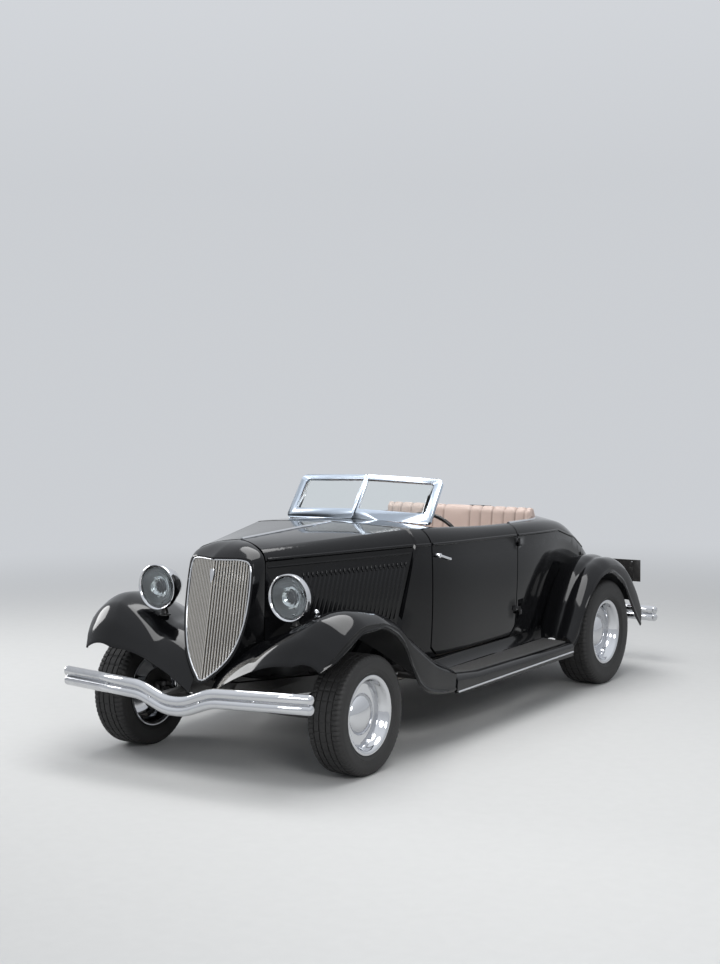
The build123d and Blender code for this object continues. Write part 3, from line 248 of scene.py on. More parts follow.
# The engine and gearbox are hidden under the closed hood: painted cast iron. The exhaust is dull steel tube
# with a muffler on each side.
engine_paint = satin("engine_paint", (0.035, 0.04, 0.045), 0.5, (0.06, 0.055, 0.05), scale=18.0)
rounded_copy("engine_block", engine_paint)
dull_steel = satin("dull_steel", (0.32, 0.31, 0.30), 0.36, (0.2, 0.17, 0.14), metallic=1.0)
rounded_copy("exhaust", dull_steel)

# The floor pan and its riser are steel under a short grey-brown carpet, as in a trimmed open car.
carpet, shader, add, feed = wired("carpet")
tufts = noise(add, 320.0, 3.0)
feed(shader, {"Base Color": mixed(add, tufts, (0.05, 0.042, 0.036), (0.13, 0.11, 0.095)),
              "Normal": dented(add, tufts, 0.6, 0.003), "Roughness": 0.95})
rounded_copy("floor_pan", carpet)

# The steel body: cowl, doors, rear body and deck lid, in many coats of gloss black over pressed sheet. The
# paint has a clear coat on top and the faint unevenness of a polished panel.
gloss_black, shader, add, feed = wired("gloss_black")
haze = noise(add, 60.0, 5.0)
feed(shader, {
    "Base Color": mixed(add, haze, (0.0035, 0.0036, 0.0042), (0.006, 0.0062, 0.007)),
    "Roughness": spread(add, haze, 0.05, 0.11), "Normal": dented(add, noise(add, 9.0, 3.0), 0.02, 0.004),
    "IOR": 1.46, "Specular IOR Level": 0.28, "Coat Weight": 0.1, "Coat Roughness": 0.02,
})
for node in ("cowl", "rear_body", "deck_lid", "door_left", "door_right", "hood_top_left", "hood_top_right",
             "hood_side_left", "hood_side_right", "running_board_left", "running_board_right"):
    rounded_copy(node, gloss_black, 24)


# The fenders are single deep pressings that bulge over the wheels, with a rolled bead round each wheel
# opening. They are bolted to the body and the running boards and painted with the body.
def between(table, count):
    """Rows of a table spread smoothly to a finer set, without overshoot."""
    rows = np.array(table, float)
    t, data = rows[:, 0], rows[:, 1:]
    step = np.diff(t)
    slope = np.diff(data, axis=0) / step[:, None]
    lean = np.zeros_like(data)
    lean[0], lean[-1] = slope[0], slope[-1]
    for i in range(1, len(t) - 1):
        same = slope[i - 1] * slope[i] > 0
        a, b = 2 * step[i] + step[i - 1], step[i] + 2 * step[i - 1]
        with np.errstate(divide="ignore", invalid="ignore"):
            mean = (a + b) / (a / slope[i - 1] + b / slope[i])
        lean[i] = np.where(same, mean, 0)
    fine = np.linspace(t[0], t[-1], count)
    k = np.clip(np.searchsorted(t, fine, side="right") - 1, 0, len(t) - 2)
    h = step[k]
    s = ((fine - t[k]) / h)[:, None]
    h = h[:, None]
    value = ((1 + 2 * s) * (1 - s) ** 2 * data[k] + s * (1 - s) ** 2 * h * lean[k]
             + s * s * (3 - 2 * s) * data[k + 1] + s * s * (s - 1) * h * lean[k + 1])
    return fine, value


def bow(p, q, bulge, count):
    """Points from p to q on a shallow bow whose middle stands off the chord by bulge, to its left."""
    p, q = np.array(p, float), np.array(q, float)
    along = (q - p) / max(np.linalg.norm(q - p), 1e-9)
    aside = np.array([-along[1], along[0]])
    t = np.linspace(0, 1, count)[:, None]
    return p + (q - p) * t + aside * bulge * 4 * t * (1 - t)


def shaded_mesh(name, vertices, faces, angle=35):
    """A mesh from its points, facing outwards and smoothly shaded up to an angle."""
    mesh = bpy.data.meshes.new(name)
    mesh.from_pydata([tuple(v) for v in vertices], [], faces)
    merged(mesh, 0.00001, lambda work: bmesh.ops.recalc_face_normals(work, faces=work.faces))
    mesh.set_sharp_from_angle(angle=math.radians(angle))
    return mesh


def smooth_piece(name, vertices, faces, material, body="chassis", replaced=(), angle=30):
    """A finished piece from its points, on its body."""
    mesh = shaded_mesh(name, vertices, faces, angle)
    mesh.materials.append(material)
    return placed(name, mesh, body, replaced)


def net(rows, columns, closed_rows=False, closed_columns=False, capped=False):
    """The faces of a grid of points, rows by columns, with a flat cap on both ends if asked."""
    faces = []
    for i in range(rows if closed_rows else rows - 1):
        for j in range(columns if closed_columns else columns - 1):
            a, b = i * columns + j, i * columns + (j + 1) % columns
            c, d = ((i + 1) % rows) * columns + (j + 1) % columns, ((i + 1) % rows) * columns + j
            faces.append((a, b, c, d))
    if capped:
        faces += [tuple(range(columns)), tuple(range((rows - 1) * columns, rows * columns))]
    return faces


sides = ((1, "left"), (-1, "right"))
front_axle_y, rear_axle_y = -1567.0, 1278.0
front_fender_rows = [
    # in millimetres: along from the axle, inner x z, valley x z, crown x z, flank x z, lip z
    (-405, 60, 425, 320, 566, 600, 624, 772, 606, 584), (-340, 70, 505, 330, 640, 620, 764, 818, 676, 622),
    (-242, 110, 600, 360, 704, 655, 846, 850, 758, 690), (-100, 196, 664, 390, 740, 676, 874, 860, 806, 752),
    (48, 250, 668, 430, 735, 690, 858, 862, 796, 752), (178, 300, 668, 470, 705, 700, 818, 862, 752, 706),
    (262, 332, 666, 495, 680, 705, 778, 862, 706, 640), (350, 366, 664, 522, 640, 710, 722, 862, 632, 505),
    (432, 398, 656, 546, 592, 714, 664, 862, 580, 393), (508, 440, 640, 568, 545, 718, 612, 862, 532, 346),
    (622, 478, 560, 596, 470, 726, 528, 860, 470, 315), (822, 560, 366, 640, 366, 750, 412, 858, 398, 292),
]
rear_fender_rows = [
    (-545, 600, 352, 650, 358, 740, 372, 850, 350, 286), (-472, 590, 470, 650, 486, 745, 488, 866, 448, 372),
    (-398, 580, 580, 650, 600, 748, 606, 872, 558, 531), (-260, 560, 720, 640, 742, 752, 742, 878, 692, 657),
    (-135, 540, 790, 632, 808, 756, 808, 880, 756, 715), (-25, 520, 812, 622, 832, 758, 832, 880, 780, 726),
    (88, 500, 806, 608, 828, 752, 826, 878, 768, 690), (234, 470, 760, 588, 786, 738, 788, 872, 722, 603),
    (318, 450, 700, 574, 728, 728, 736, 868, 662, 503), (430, 420, 590, 552, 616, 716, 632, 862, 552, 380),
    (528, 390, 446, 530, 470, 704, 488, 856, 420, 300),
]


bead_height, bead_from_lip, bead_spread = 7.5, 15, 6.5
ridge_spread, fender_wall = 9.0, 11.0
inner_points = 9


def fender(side, tag, end, rows, axle_y, ridge):
    """One fender skin with its wall, its rolled edge and the ridge along its valley."""
    along, data = between(rows, 120)
    outer, inner = [], []
    for y, row in zip(along, data):
        ix, iz, vx, vz, cx, cz, fx, fz, lip = row
        skin = np.vstack([
            bow((ix, iz), (vx, vz), 8, inner_points + 1)[:-1], bow((vx, vz), (cx, cz), 16, 14)[:-1],
            bow((cx, cz), (fx, fz), 26, 18)[:-1], bow((fx, fz), (fx - 8, lip + 4), 4, 12),
        ])
        direction = np.gradient(skin, axis=0)
        direction /= np.linalg.norm(direction, axis=1)[:, None]
        normal = np.stack([-direction[:, 1], direction[:, 0]], axis=1)
        run = np.r_[0, np.cumsum(np.linalg.norm(np.diff(skin, axis=0), axis=1))]
        from_lip = run[-1] - run
        bead = bead_height * np.exp(-((from_lip - bead_from_lip) / bead_spread) ** 2)
        crease = ridge * np.exp(-((run - run[inner_points]) / ridge_spread) ** 2)
        lifted = skin + normal * (bead + crease - bead_height)[:, None]
        outer.append([(x, axle_y + y, z) for x, z in lifted])
        inner.append([(x, axle_y + y, z) for x, z in skin - normal * fender_wall])
    outer, inner = np.array(outer), np.array(inner)
    count, wide = outer.shape[:2]
    loop = np.concatenate([outer, inner[:, ::-1]], axis=1)
    points = loop.reshape(-1, 3) / 1000 * (side, 1, 1)
    faces = net(count, 2 * wide, closed_columns=True)
    for k in (0, count - 1):
        ring = [k * 2 * wide + j for j in range(2 * wide)]
        faces += [(ring[j], ring[j + 1], ring[-2 - j], ring[-1 - j]) for j in range(wide - 1)]
    smooth_piece(f"fender_{end}_{tag}", points, faces, gloss_black,
                 replaced=[f"{end}_fender_{tag}"], angle=40)


for side, tag in sides:
    fender(side, tag, "front", front_fender_rows, front_axle_y, 0.0)
    fender(side, tag, "rear", rear_fender_rows, rear_axle_y, 4.5)


# The bright parts are plated or polished metal: a mirror with faint haze and the slightest waviness. Most are
# chromed, and the grille's bars, the windscreen's frame and the lamps' dishes are duller.
def bright(name, colour, low, high):
    """A plated or polished metal whose roughness wanders between two values."""
    block, shader, add, feed = wired(name)
    haze = noise(add, 45.0, 6.0)
    feed(shader, {"Roughness": spread(add, haze, low, high), "Normal": dented(add, haze, 0.015, 0.001),
                  "Base Color": (*colour, 1), "Metallic": 1.0})
    return block


chrome = bright("chrome", (0.62, 0.63, 0.65), 0.04, 0.11)


# The belt moulding is a half-round bead pressed along the hood, the cowl, the doors and the rear body, with a
# thinner one under it on the hood, all painted with the body. Each runs along points on the panel's own skin.
def run_along(name, points, radius, material=chrome, body="chassis", closed=False,
              replaced=()):
    """A round bead of a given radius along a path, by Geometry Nodes."""
    def bead(add, given):
        wire = add("GeometryNodeMeshToCurve", {0: given["Start"]})
        ring = add("GeometryNodeCurvePrimitiveCircle", {"Resolution": 12, "Radius": given["Radius"]})
        tube = add("GeometryNodeCurveToMesh",
                   {"Curve": wire.outputs[0], "Profile Curve": ring.outputs[0], "Fill Caps": True})
        return add("GeometryNodeSetShadeSmooth", {0: tube.outputs[0]}).outputs[0]

    mesh = bpy.data.meshes.new(name + "_path")
    last = len(points)
    edges = [(i, (i + 1) % last) for i in range(last if closed else last - 1)]
    mesh.from_pydata([tuple(p) for p in points], edges, [])
    return grown(name, mesh, bead, [("Radius", "Float", radius)], material, body, replaced)


def grown(name, mesh, shape, sizes, material, body="chassis", replaced=()):
    """A piece that Geometry Nodes grow from a mesh. Its named inputs are (name, kind, value)."""
    tree = bpy.data.node_groups.new(name + "_tree", "GeometryNodeTree")
    named = [*sizes, ("Finish", "Material", material)]
    tree.interface.new_socket("Start", in_out="INPUT", socket_type="NodeSocketGeometry")
    sockets = [tree.interface.new_socket(word, in_out="INPUT", socket_type="NodeSocket" + kind)
               for word, kind, value in named]
    tree.interface.new_socket("Piece", in_out="OUTPUT", socket_type="NodeSocketGeometry")
    add = adder(tree)[0]
    given = add("NodeGroupInput").outputs
    real = add("GeometryNodeRealizeInstances", {0: shape(add, given)})
    paint = add("GeometryNodeSetMaterial", {"Geometry": real.outputs[0], "Material": given["Finish"]})
    add("NodeGroupOutput", {0: paint.outputs[0]})
    start = bpy.data.objects.new(name + "_start", mesh)
    scene.collection.objects.link(start)
    maker = start.modifiers.new("maker", "NODES")
    maker.node_group = tree
    for socket, (word, kind, value) in zip(sockets, named):
        maker[socket.identifier] = value
    return settle(name, start, material, body, replaced)


def settle(name, maker, material, body="chassis", replaced=()):
    """Turns what a maker's modifiers give into a plain piece on its body, and removes the maker."""
    seen_now = bpy.context.evaluated_depsgraph_get()
    made = bpy.data.meshes.new_from_object(maker.evaluated_get(seen_now), depsgraph=seen_now)
    bpy.data.objects.remove(maker)
    if not made.materials:
        made.materials.append(material)
    return placed(name, made, body, replaced)


skins = {}


def on_skin(node, start, way):
    """Where a line from start meets a CAD node's surface, or None."""
    if node not in skins:
        mesh = frame["nodes"][node].data
        mesh.calc_loop_triangles()
        corners = [v.co.copy() for v in mesh.vertices]
        skins[node] = BVHTree.FromPolygons(corners, [tuple(t.vertices) for t in mesh.loop_triangles])
    return skins[node].ray_cast(Vector(start), Vector(way))[0]


def belt_height(y):
    """The body's belt line, which falls towards the tail."""
    return float(np.interp(y, [-0.745, -0.585, -0.145, 0.315, 0.928, 1.258, 1.458, 1.658],
                           [1.095, 1.088, 1.074, 1.056, 1.03, 0.95, 0.86, 0.76]))


moulding_sunk = 0.003
moulding_spans = [
    # node, from y, to y, offset from the belt, radius
    ("hood_top_left", -1.668, -0.756, 0.008, 0.0095), ("hood_side_left", -1.668, -0.762, -0.034, 0.006),
    ("cowl", -0.738, -0.618, 0.006, 0.0095), ("door_left", -0.600, 0.307, 0.006, 0.0095),
    ("rear_body", 0.333, 1.45, 0.006, 0.0085),
]
for number, (node, start_y, end_y, offset, radius) in enumerate(moulding_spans):
    for side, tag in sides:
        path = []
        panel = node.replace("left", tag)
        for y in np.linspace(start_y, end_y, 60):
            hit = on_skin(panel, (side * 1.2, y, belt_height(y) + offset), (-side, 0, 0))
            if hit and abs(hit.x) > 0.15:
                path.append((hit.x - side * moulding_sunk, hit.y, hit.z))
        if len(path) > 2:
            run_along(f"moulding_{number}_{tag}", path, radius, gloss_black, body_of(panel))

# The hood's two top panels meet at a long chromed piano hinge, which lies along the ridge.
ridge = []
for y in np.linspace(-1.573, -0.722, 40):
    hit = on_skin("cowl", (0, y, 2.0), (0, 0, -1))
    if hit:
        ridge.append((0, y, hit.z + 0.0005))
run_along("hood_piano_hinge", ridge, 0.0085)


# Each louvre pressed into the hood's sides ends in a rounded top, painted with the panel. They stand in one
# even row along each side.
def laid_out(name, unit, spots, material):
    """Copies of a unit mesh, one at each spot (place, turn, size), by Geometry Nodes."""
    def layout(add, given):
        shape = add("GeometryNodeObjectInfo", {"Object": given["Unit"]})
        turn, size = (add("GeometryNodeInputNamedAttribute", {"Name": word}, data_type="FLOAT_VECTOR")
                      for word in ("turn", "size"))
        copies = add("GeometryNodeInstanceOnPoints", {
            "Points": given["Start"], "Instance": shape.outputs["Geometry"],
            "Rotation": turn.outputs["Attribute"], "Scale": size.outputs["Attribute"],
        })
        return copies.outputs[0]

    mesh = bpy.data.meshes.new(name + "_places")
    mesh.from_pydata([tuple(spot[0]) for spot in spots], [], [])
    for word, which in (("turn", 1), ("size", 2)):
        values = mesh.attributes.new(word, "FLOAT_VECTOR", "POINT")
        values.data.foreach_set("vector", [float(v) for spot in spots for v in spot[which]])
    model = bpy.data.objects.new(name + "_unit", unit)
    grown(name, mesh, layout, [("Unit", "Object", model)], material)
    bpy.data.objects.remove(model)


louvre_count, louvre_pitch, louvre_first_y, louvre_top_z = 24, 0.0285, -0.8072, 0.9985
dome_points = []
for polar in np.linspace(0, math.pi, 7):
    for turn in np.linspace(0, math.tau, 10, endpoint=False):
        wide = math.sin(polar)
        dome_points.append((wide * math.cos(turn), wide * math.sin(turn), math.cos(polar)))
louvre_top = shaded_mesh("louvre_top", dome_points, net(7, 10, closed_columns=True), 60)
for side, tag in sides:
    spots = []
    for number in range(louvre_count):
        y = louvre_first_y - louvre_pitch * number
        hit = on_skin(f"hood_side_{tag}", (side * 1.2, y + 0.007, 1.01), (-side, 0, 0))
        if hit:
            spot = (hit.x + side * 0.001, y + 0.0085, louvre_top_z)
            spots.append((spot, (0, 0, 0), (0.0105, 0.0095, 0.016)))
    laid_out(f"louvre_tops_{tag}", louvre_top, spots, gloss_black)

# The grille is a die-cast frame of slim upright bars in dull nickel, with a bright bead round its edge. It
# folds along the middle like a ship's bow and leans back. The radiator core stands behind it.
grille_foot_y, grille_head_y, prow = -1.957, -1.825, 0.37
grille_foot_z, grille_height, grille_widest_z = 0.486, 0.621, 0.945
grille_outline = [
    # in millimetres: half width, height
    (0, 487), (12, 487), (48, 511), (95, 554), (142, 617), (172, 690), (191, 768), (202, 857), (205, 945),
    (202, 1040), (196, 1072), (176, 1098), (120, 1107), (0, 1107),
]


def grille_y(x, z):
    climb = (z - grille_foot_z) / grille_height
    return grille_foot_y + (grille_head_y - grille_foot_y) * climb + prow * abs(x)


def even_line(table, count):
    """Points evenly spread along a smooth line through a table's points."""
    raw = np.array(table, float)
    run = np.r_[0, np.cumsum(np.linalg.norm(np.diff(raw, axis=0), axis=1))]
    keep = np.r_[True, np.diff(run) > 0]
    _, smooth = between([(t, *p) for t, p in zip(run[keep], raw[keep])], count * 6)
    walk = np.r_[0, np.cumsum(np.linalg.norm(np.diff(smooth, axis=0), axis=1))]
    at = np.linspace(0, walk[-1], count)
    return np.stack([np.interp(at, walk, smooth[:, k]) for k in range(2)], axis=1)


edge_line = even_line(grille_outline, 80) / 1000
bead_line = [(x - 0.004, grille_y(x, z) + 0.001, z) for x, z in edge_line[1:-1] if x > 0.004]
whole_edge = bead_line + [(-x, y, z) for x, y, z in reversed(bead_line)]
run_along("grille_surround", whole_edge, 0.0052, closed=True, replaced=["grille"])
bar_pitch, bar_half, bar_deep, bars_per_side = 0.0143, 0.0042, 0.016, 13
nickel = bright("nickel", (0.60, 0.58, 0.545), 0.16, 0.28)
bar_ring = [(-bar_half, bar_deep), (-bar_half, 0.003), (-bar_half * 0.5, 0), (bar_half * 0.5, 0),
            (bar_half, 0.003), (bar_half, bar_deep)]
bar_points = [(x, y, z) for z in (0.0, 1.0) for x, y in bar_ring]
bar_unit = shaded_mesh("grille_bar", bar_points, net(2, 6, closed_columns=True, capped=True))
bar_spots = []
lean_y = (grille_head_y - grille_foot_y) / grille_height
lower_edge = edge_line[edge_line[:, 1] < grille_widest_z]
upper_edge = edge_line[edge_line[:, 1] >= grille_widest_z]
for number in range(-bars_per_side, bars_per_side + 1):
    x = number * bar_pitch
    low = float(np.interp(abs(x) + 0.003, lower_edge[:, 0], lower_edge[:, 1]))
    high = float(np.interp(abs(x) + 0.003, upper_edge[::-1, 0], upper_edge[::-1, 1]))
    tilt = math.atan2(-lean_y, 1)
    length = (high - low) * math.hypot(1, lean_y)
    bar_spots.append(((x, grille_y(x, low) + 0.003, low), (tilt, 0, 0), (1, 1, length)))
laid_out("grille_bars", bar_unit, bar_spots, nickel)
core_black = satin("core_black", (0.006, 0.006, 0.006), 0.6, (0.012, 0.012, 0.012), scale=200.0)
core_points = []
for z in np.linspace(0.52, 1.09, 40):
    half_wide = float(np.interp(z, lower_edge[:, 1], lower_edge[:, 0])) if z < grille_widest_z else 0.19
    for share in np.linspace(-1, 1, 21):
        x = share * (half_wide - 0.01)
        core_points.append((x, grille_y(x, z) + 0.035, z))
smooth_piece("radiator_core", core_points, net(40, 21), core_black)

# The badge's place on the fold near the top of the grille is a plain chromed drop, with nothing on it.
badge = []
for share in np.linspace(0, 1, 16):
    wide = 0.013 * math.sin(math.pi * min(share * 0.62 + 0.02, 0.98)) ** 0.8
    z = 0.985 + 0.075 * share
    for turn in np.linspace(0, math.tau, 16, endpoint=False):
        y = grille_y(0, z) - 0.0005 - 0.6 * wide * max(0, -math.sin(turn)) + 0.002
        badge.append((wide * math.cos(turn), y, z))
badge_faces = net(16, 16, closed_columns=True, capped=True)
smooth_piece("grille_badge", badge, badge_faces, chrome, angle=60)


# The grille shell is a pressed steel nose round the grille, painted with the body. It swells quickly behind
# a narrow lip and runs back to the hood, where its edge is a shallow V.
shell_rows = [
    # in millimetres: lip x z, rear edge x z
    (0, 475, 0, 475), (14, 475, 14, 475), (56, 500, 62, 500), (104, 544, 122, 540), (153, 609, 180, 600),
    (184, 685, 212, 690), (203, 765, 218, 768), (214, 856, 226, 857), (217, 945, 230, 945),
    (214, 1044, 236, 1075), (208, 1085, 229, 1110), (188, 1110, 206, 1138), (150, 1118, 165, 1160),
    (80, 1119, 85, 1183), (0, 1119, 0, 1190),
]


def grille_shell():
    """The shell as rings from the grille's opening back to the hood, and forward again inside."""
    count, steps = 90, 24
    reach = [math.hypot(a[0] - b[0], a[1] - b[1]) for a, b in zip(shell_rows[1:], shell_rows)]
    run = np.r_[0, np.cumsum(reach)]
    _, lines = between([(t, *row) for t, row in zip(run, shell_rows)], count)
    lines /= 1000
    hole = even_line(grille_outline, count) / 1000
    rings = []

    def ring(share, scale_x=1.0, scale_z=1.0, inset=0.0):
        swell = 1 - max(1 - share, 0) ** 2.2
        x = (lines[:, 0] + (lines[:, 2] - lines[:, 0]) * swell) * scale_x
        z = 0.83 + (lines[:, 1] + (lines[:, 3] - lines[:, 1]) * swell - 0.83) * scale_z
        front = np.array([grille_y(a, b) for a, b in zip(x, z)]) - 0.004
        rear = -1.583 - 0.42 * x - 0.009
        return np.stack([x, front + (rear - front) * share + inset, z], axis=1)

    hx, hz = hole[:, 0] + 0.001 * (hole[:, 0] > 0.002), hole[:, 1]
    hy = np.array([grille_y(a, b) for a, b in zip(hx, hz)])
    rings.append(np.stack([hx, hy + 0.012, hz], axis=1))
    rings.append(np.stack([hx, hy - 0.002, hz], axis=1))
    rings += [ring(s) for s in np.r_[0.0, 0.015, np.linspace(0.04, 1, steps)]]
    rings += [ring(s, 0.955, 0.97) for s in (1.0, 0.7, 0.4, 0.2)]
    half = np.array(rings)
    mirrored_half = half[:, ::-1] * (-1, 1, 1)
    whole = np.concatenate([half, mirrored_half[:, 1:-1]], axis=1)
    rows, columns = whole.shape[:2]
    faces = net(rows, columns, closed_rows=True, closed_columns=True)
    smooth_piece("grille_shell_nose", whole.reshape(-1, 3), faces, gloss_black,
                 replaced=["grille_shell"], angle=50)


grille_shell()


# The windscreen is two flat panes in a thick polished frame that leans back on the cowl. The frame's bars are
# rounded over along their edges.
def softened(node, material, width, segments=3):
    """The node's own shape with its flat faces joined and its edges rounded over."""
    mesh = frame["nodes"][node].data.copy()
    flat = math.radians(1.5)
    merged(mesh, 0.00005, lambda work: bmesh.ops.dissolve_limit(
        work, angle_limit=flat, verts=work.verts, edges=work.edges))
    mesh.materials.clear()
    mesh.materials.append(material)
    maker = bpy.data.objects.new(node + "_maker", mesh)
    scene.collection.objects.link(maker)
    edge = maker.modifiers.new("edge", "BEVEL")
    edge.width, edge.segments, edge.limit_method = width, segments, "ANGLE"
    edge.angle_limit = math.radians(30)
    edge.harden_normals = True
    return settle(node + "_finish", maker, material, body_of(node), [node])


# The frame metal's blue tint is a painted reflection of sky on the polished metal.
screen_metal = bright("screen_metal", (0.62, 0.70, 0.80), 0.24, 0.36)
softened("windscreen_frame", screen_metal, 0.007, 4)
clear_glass, shader, add, feed = wired("clear_glass")
feed(shader, {"Roughness": spread(add, noise(add, 6.0, 4.0), 0.0, 0.03), "Base Color": (0.93, 0.97, 0.97, 1),
              "Transmission Weight": 1.0, "IOR": 1.45})
rounded_copy("windscreen_glass", clear_glass, 35)

# The bumpers are two fat chromed tubes each, one over the other, with domed ends and round-headed bolts in
# the groove between them.
for node in ("front_bumper", "rear_bumper"):
    rounded_copy(node, chrome, 35)


def turned(name, profile, centre, way, material=chrome, body="chassis", replaced=(),
           steps=64, angle=32):
    """A turned piece: (along, radius) points spun about an axis through centre."""
    way = Vector(way).normalized()
    side_way = way.orthogonal().normalized()
    other_way = way.cross(side_way)
    points = []
    for along, radius in profile:
        for k in range(steps):
            turn = math.tau * k / steps
            spoke = side_way * math.cos(turn) + other_way * math.sin(turn)
            points.append(Vector(centre) + way * along + spoke * max(radius, 0))
    faces = net(len(profile), steps, closed_columns=True, capped=profile[0] != profile[-1])
    return smooth_piece(name, points, faces, material, body, replaced, angle)


dome = [(0.0, 0.027), (0.006, 0.0262), (0.011, 0.022), (0.0145, 0.0155), (0.016, 0.008), (0.0164, 0.0)]
tube_offset = 0.025
for end, x, y, z, sweep in (("front", 0.792, -2.093, 0.462, 0.12), ("rear", 0.815, 2.108, 0.345, -0.14)):
    for side, tag in sides:
        for level, word in ((1, "upper"), (-1, "lower")):
            turned(f"bumper_end_{end}_{tag}_{word}", dome, (side * x, y, z + level * tube_offset),
                   (side, sweep, 0), steps=32)
bolt_head = [(0.0, 0.009), (0.003, 0.0088), (0.006, 0.006), (0.007, 0.0)]
bolt_rows = [
    # end, outward, places
    ("front", -1, [(0.161, -2.192, 0.424), (0.48, -2.158, 0.457)]), ("rear", 1, [(0.306, 2.192, 0.345)]),
]
for end, outward, spots in bolt_rows:
    for number, (x, y, z) in enumerate(spots):
        for side, tag in sides:
            hit = on_skin(f"{end}_bumper", (side * x, y * 1.2, z), (0, -outward, 0))
            spot = hit if hit else Vector((side * x, y, z))
            turned(f"bumper_bolt_{end}_{number}_{tag}", bolt_head, spot, (0, outward, 0), steps=20)

# The headlamps are deep chromed bowls with a broad rim. Each has a domed lens with moulded rings over a grey
# dish, a dark shield and a bright ring. It stands on a black post bolted to the fender, by a chromed knob.
lamp_x, lamp_y, lamp_z = 0.437, -1.773, 0.925
lens_radius = 0.110
rearward, upward = (0, 1, 0), (0, 0, 1)
bowl = [
    (0.176, 0.0), (0.172, 0.026), (0.150, 0.062), (0.104, 0.094), (0.052, 0.114), (0.036, 0.1185),
    (0.032, 0.1245), (0.026, 0.126), (0.008, 0.126), (0.002, 0.1245), (-0.0005, 0.121), (0.0015, 0.1175),
    (0.006, 0.1125), (0.012, 0.110), (0.030, 0.108), (0.060, 0.098), (0.105, 0.072), (0.135, 0.040),
    (0.150, 0.012), (0.152, 0.0),
]
ringed = [(0.0118, 0.1115)]
for share in np.linspace(0, 1, 60):
    radius = lens_radius * (1 - share)
    waves = 0.0007 * math.cos(radius / lens_radius * math.pi * 14)
    waves += 0.0022 * math.exp(-((radius - 0.052) / 0.006) ** 2)
    ringed.append((0.010 - 0.0075 * (1 - (radius / lens_radius) ** 2) - waves, radius))
ringed += [(0.0065, 0.0), (0.009, 0.06), (0.013, 0.110), (0.0118, 0.1115)]
dish_grey = bright("dish_grey", (0.60, 0.605, 0.62), 0.36, 0.48)
shield_grey = bright("shield_grey", (0.10, 0.10, 0.11), 0.34, 0.5)
dish = [(0.028, 0.1065), (0.058, 0.0965), (0.103, 0.0705), (0.133, 0.0385), (0.147, 0.012), (0.148, 0.0)]
dish += [(along - 0.0012, radius * 0.99) for along, radius in reversed(dish)] + dish[:1]
shield = [(0.036, 0.0), (0.037, 0.016), (0.040, 0.028), (0.046, 0.034), (0.056, 0.033), (0.075, 0.018),
          (0.142, 0.012), (0.144, 0.0)]
ring = [(0.030, 0.043), (0.0275, 0.049), (0.030, 0.0555), (0.036, 0.058), (0.042, 0.054), (0.045, 0.036),
        (0.040, 0.034), (0.030, 0.043)]
knob = [(0.0, 0.013), (0.004, 0.013), (0.006, 0.008), (0.012, 0.009), (0.018, 0.015), (0.026, 0.0175),
        (0.034, 0.015), (0.041, 0.008), (0.043, 0.0)]
for side, tag in sides:
    lamp = f"headlamp_{tag}"
    centre = (side * lamp_x, lamp_y, lamp_z)
    bowl_nodes, lens_nodes = (["headlamps"], ["headlamp_lenses"]) if tag == "left" else ((), ())
    turned(f"{lamp}_bowl", bowl, centre, rearward, replaced=bowl_nodes, steps=96)
    turned(f"{lamp}_lens", ringed, centre, rearward, clear_glass, replaced=lens_nodes, steps=96,
           angle=50)
    turned(f"{lamp}_dish", dish, centre, rearward, dish_grey, steps=72)
    turned(f"{lamp}_shield", shield, centre, rearward, shield_grey, steps=48)
    turned(f"{lamp}_ring", ring, centre, rearward)
    front_fender = f"front_fender_{tag}"
    foot = on_skin(front_fender, (side * lamp_x, lamp_y + 0.07, lamp_z - 0.14), (0, 0, -1))
    foot_z = foot.z if foot else 0.73
    stand = [(0.0, 0.034), (0.006, 0.033), (0.012, 0.022), (0.03, 0.0165), (lamp_z - 0.085 - foot_z, 0.0165)]
    turned(f"{lamp}_stand", stand, (side * lamp_x, lamp_y + 0.07, foot_z - 0.004), upward, frame_black,
           steps=32)
    knob_foot = on_skin(front_fender, (side * 0.525, lamp_y + 0.13, 1.1), (0, 0, -1))
    if knob_foot:
        turned(f"fender_knob_{tag}", knob, knob_foot - Vector((0, 0, 0.002)), upward, steps=28)


# The wheels are deep-dished pressed steel with polished rims, a smooth disc and a domed cap, all chromed.
# Each carries a black rubber tyre with ringed sidewalls, cut shoulders and four grooves round its tread.
axles = [
    # end, half track, y, z, half width, tyre radius
    ("front", 0.715, -1.567, 0.315, 0.1025, 0.315), ("rear", 0.7275, 1.278, 0.340, 0.1175, 0.340),
]


def wheel_profile(half):
    """Points round a wheel, from the cap outwards over the disc and the rim, and back behind them."""
    edge = half * 0.8 + 0.0003
    return [
        (0.0665, 0.0), (0.0655, 0.02), (0.062, 0.045), (0.0545, 0.071), (0.044, 0.092), (0.034, 0.1055),
        (0.0285, 0.1085), (0.0275, 0.112), (0.0290, 0.120), (0.0285, 0.150), (0.0290, 0.157),
        (edge - 0.034, 0.1625), (edge - 0.024, 0.172), (edge - 0.012, 0.1805), (edge - 0.002, 0.1845),
        (edge + 0.003, 0.190), (edge + 0.0065, 0.198), (edge + 0.0075, 0.205), (edge + 0.0055, 0.2088),
        (edge + 0.001, 0.2088), (edge, 0.206), (edge - 0.001, 0.1925), (0.0, 0.1918), (-edge + 0.001, 0.1925),
        (-edge, 0.206), (-edge - 0.001, 0.2088), (-edge - 0.0075, 0.2075), (-edge - 0.0078, 0.198),
        (-edge + 0.004, 0.184), (0.004, 0.182), (0.018, 0.150), (0.018, 0.062), (-0.04, 0.058),
        (-0.04, 0.0225),
    ]


groove_half, groove_deep = 0.0035, 0.007
tread_steps, shoulder_cut, tread_cut = 288, 0.005, 0.004


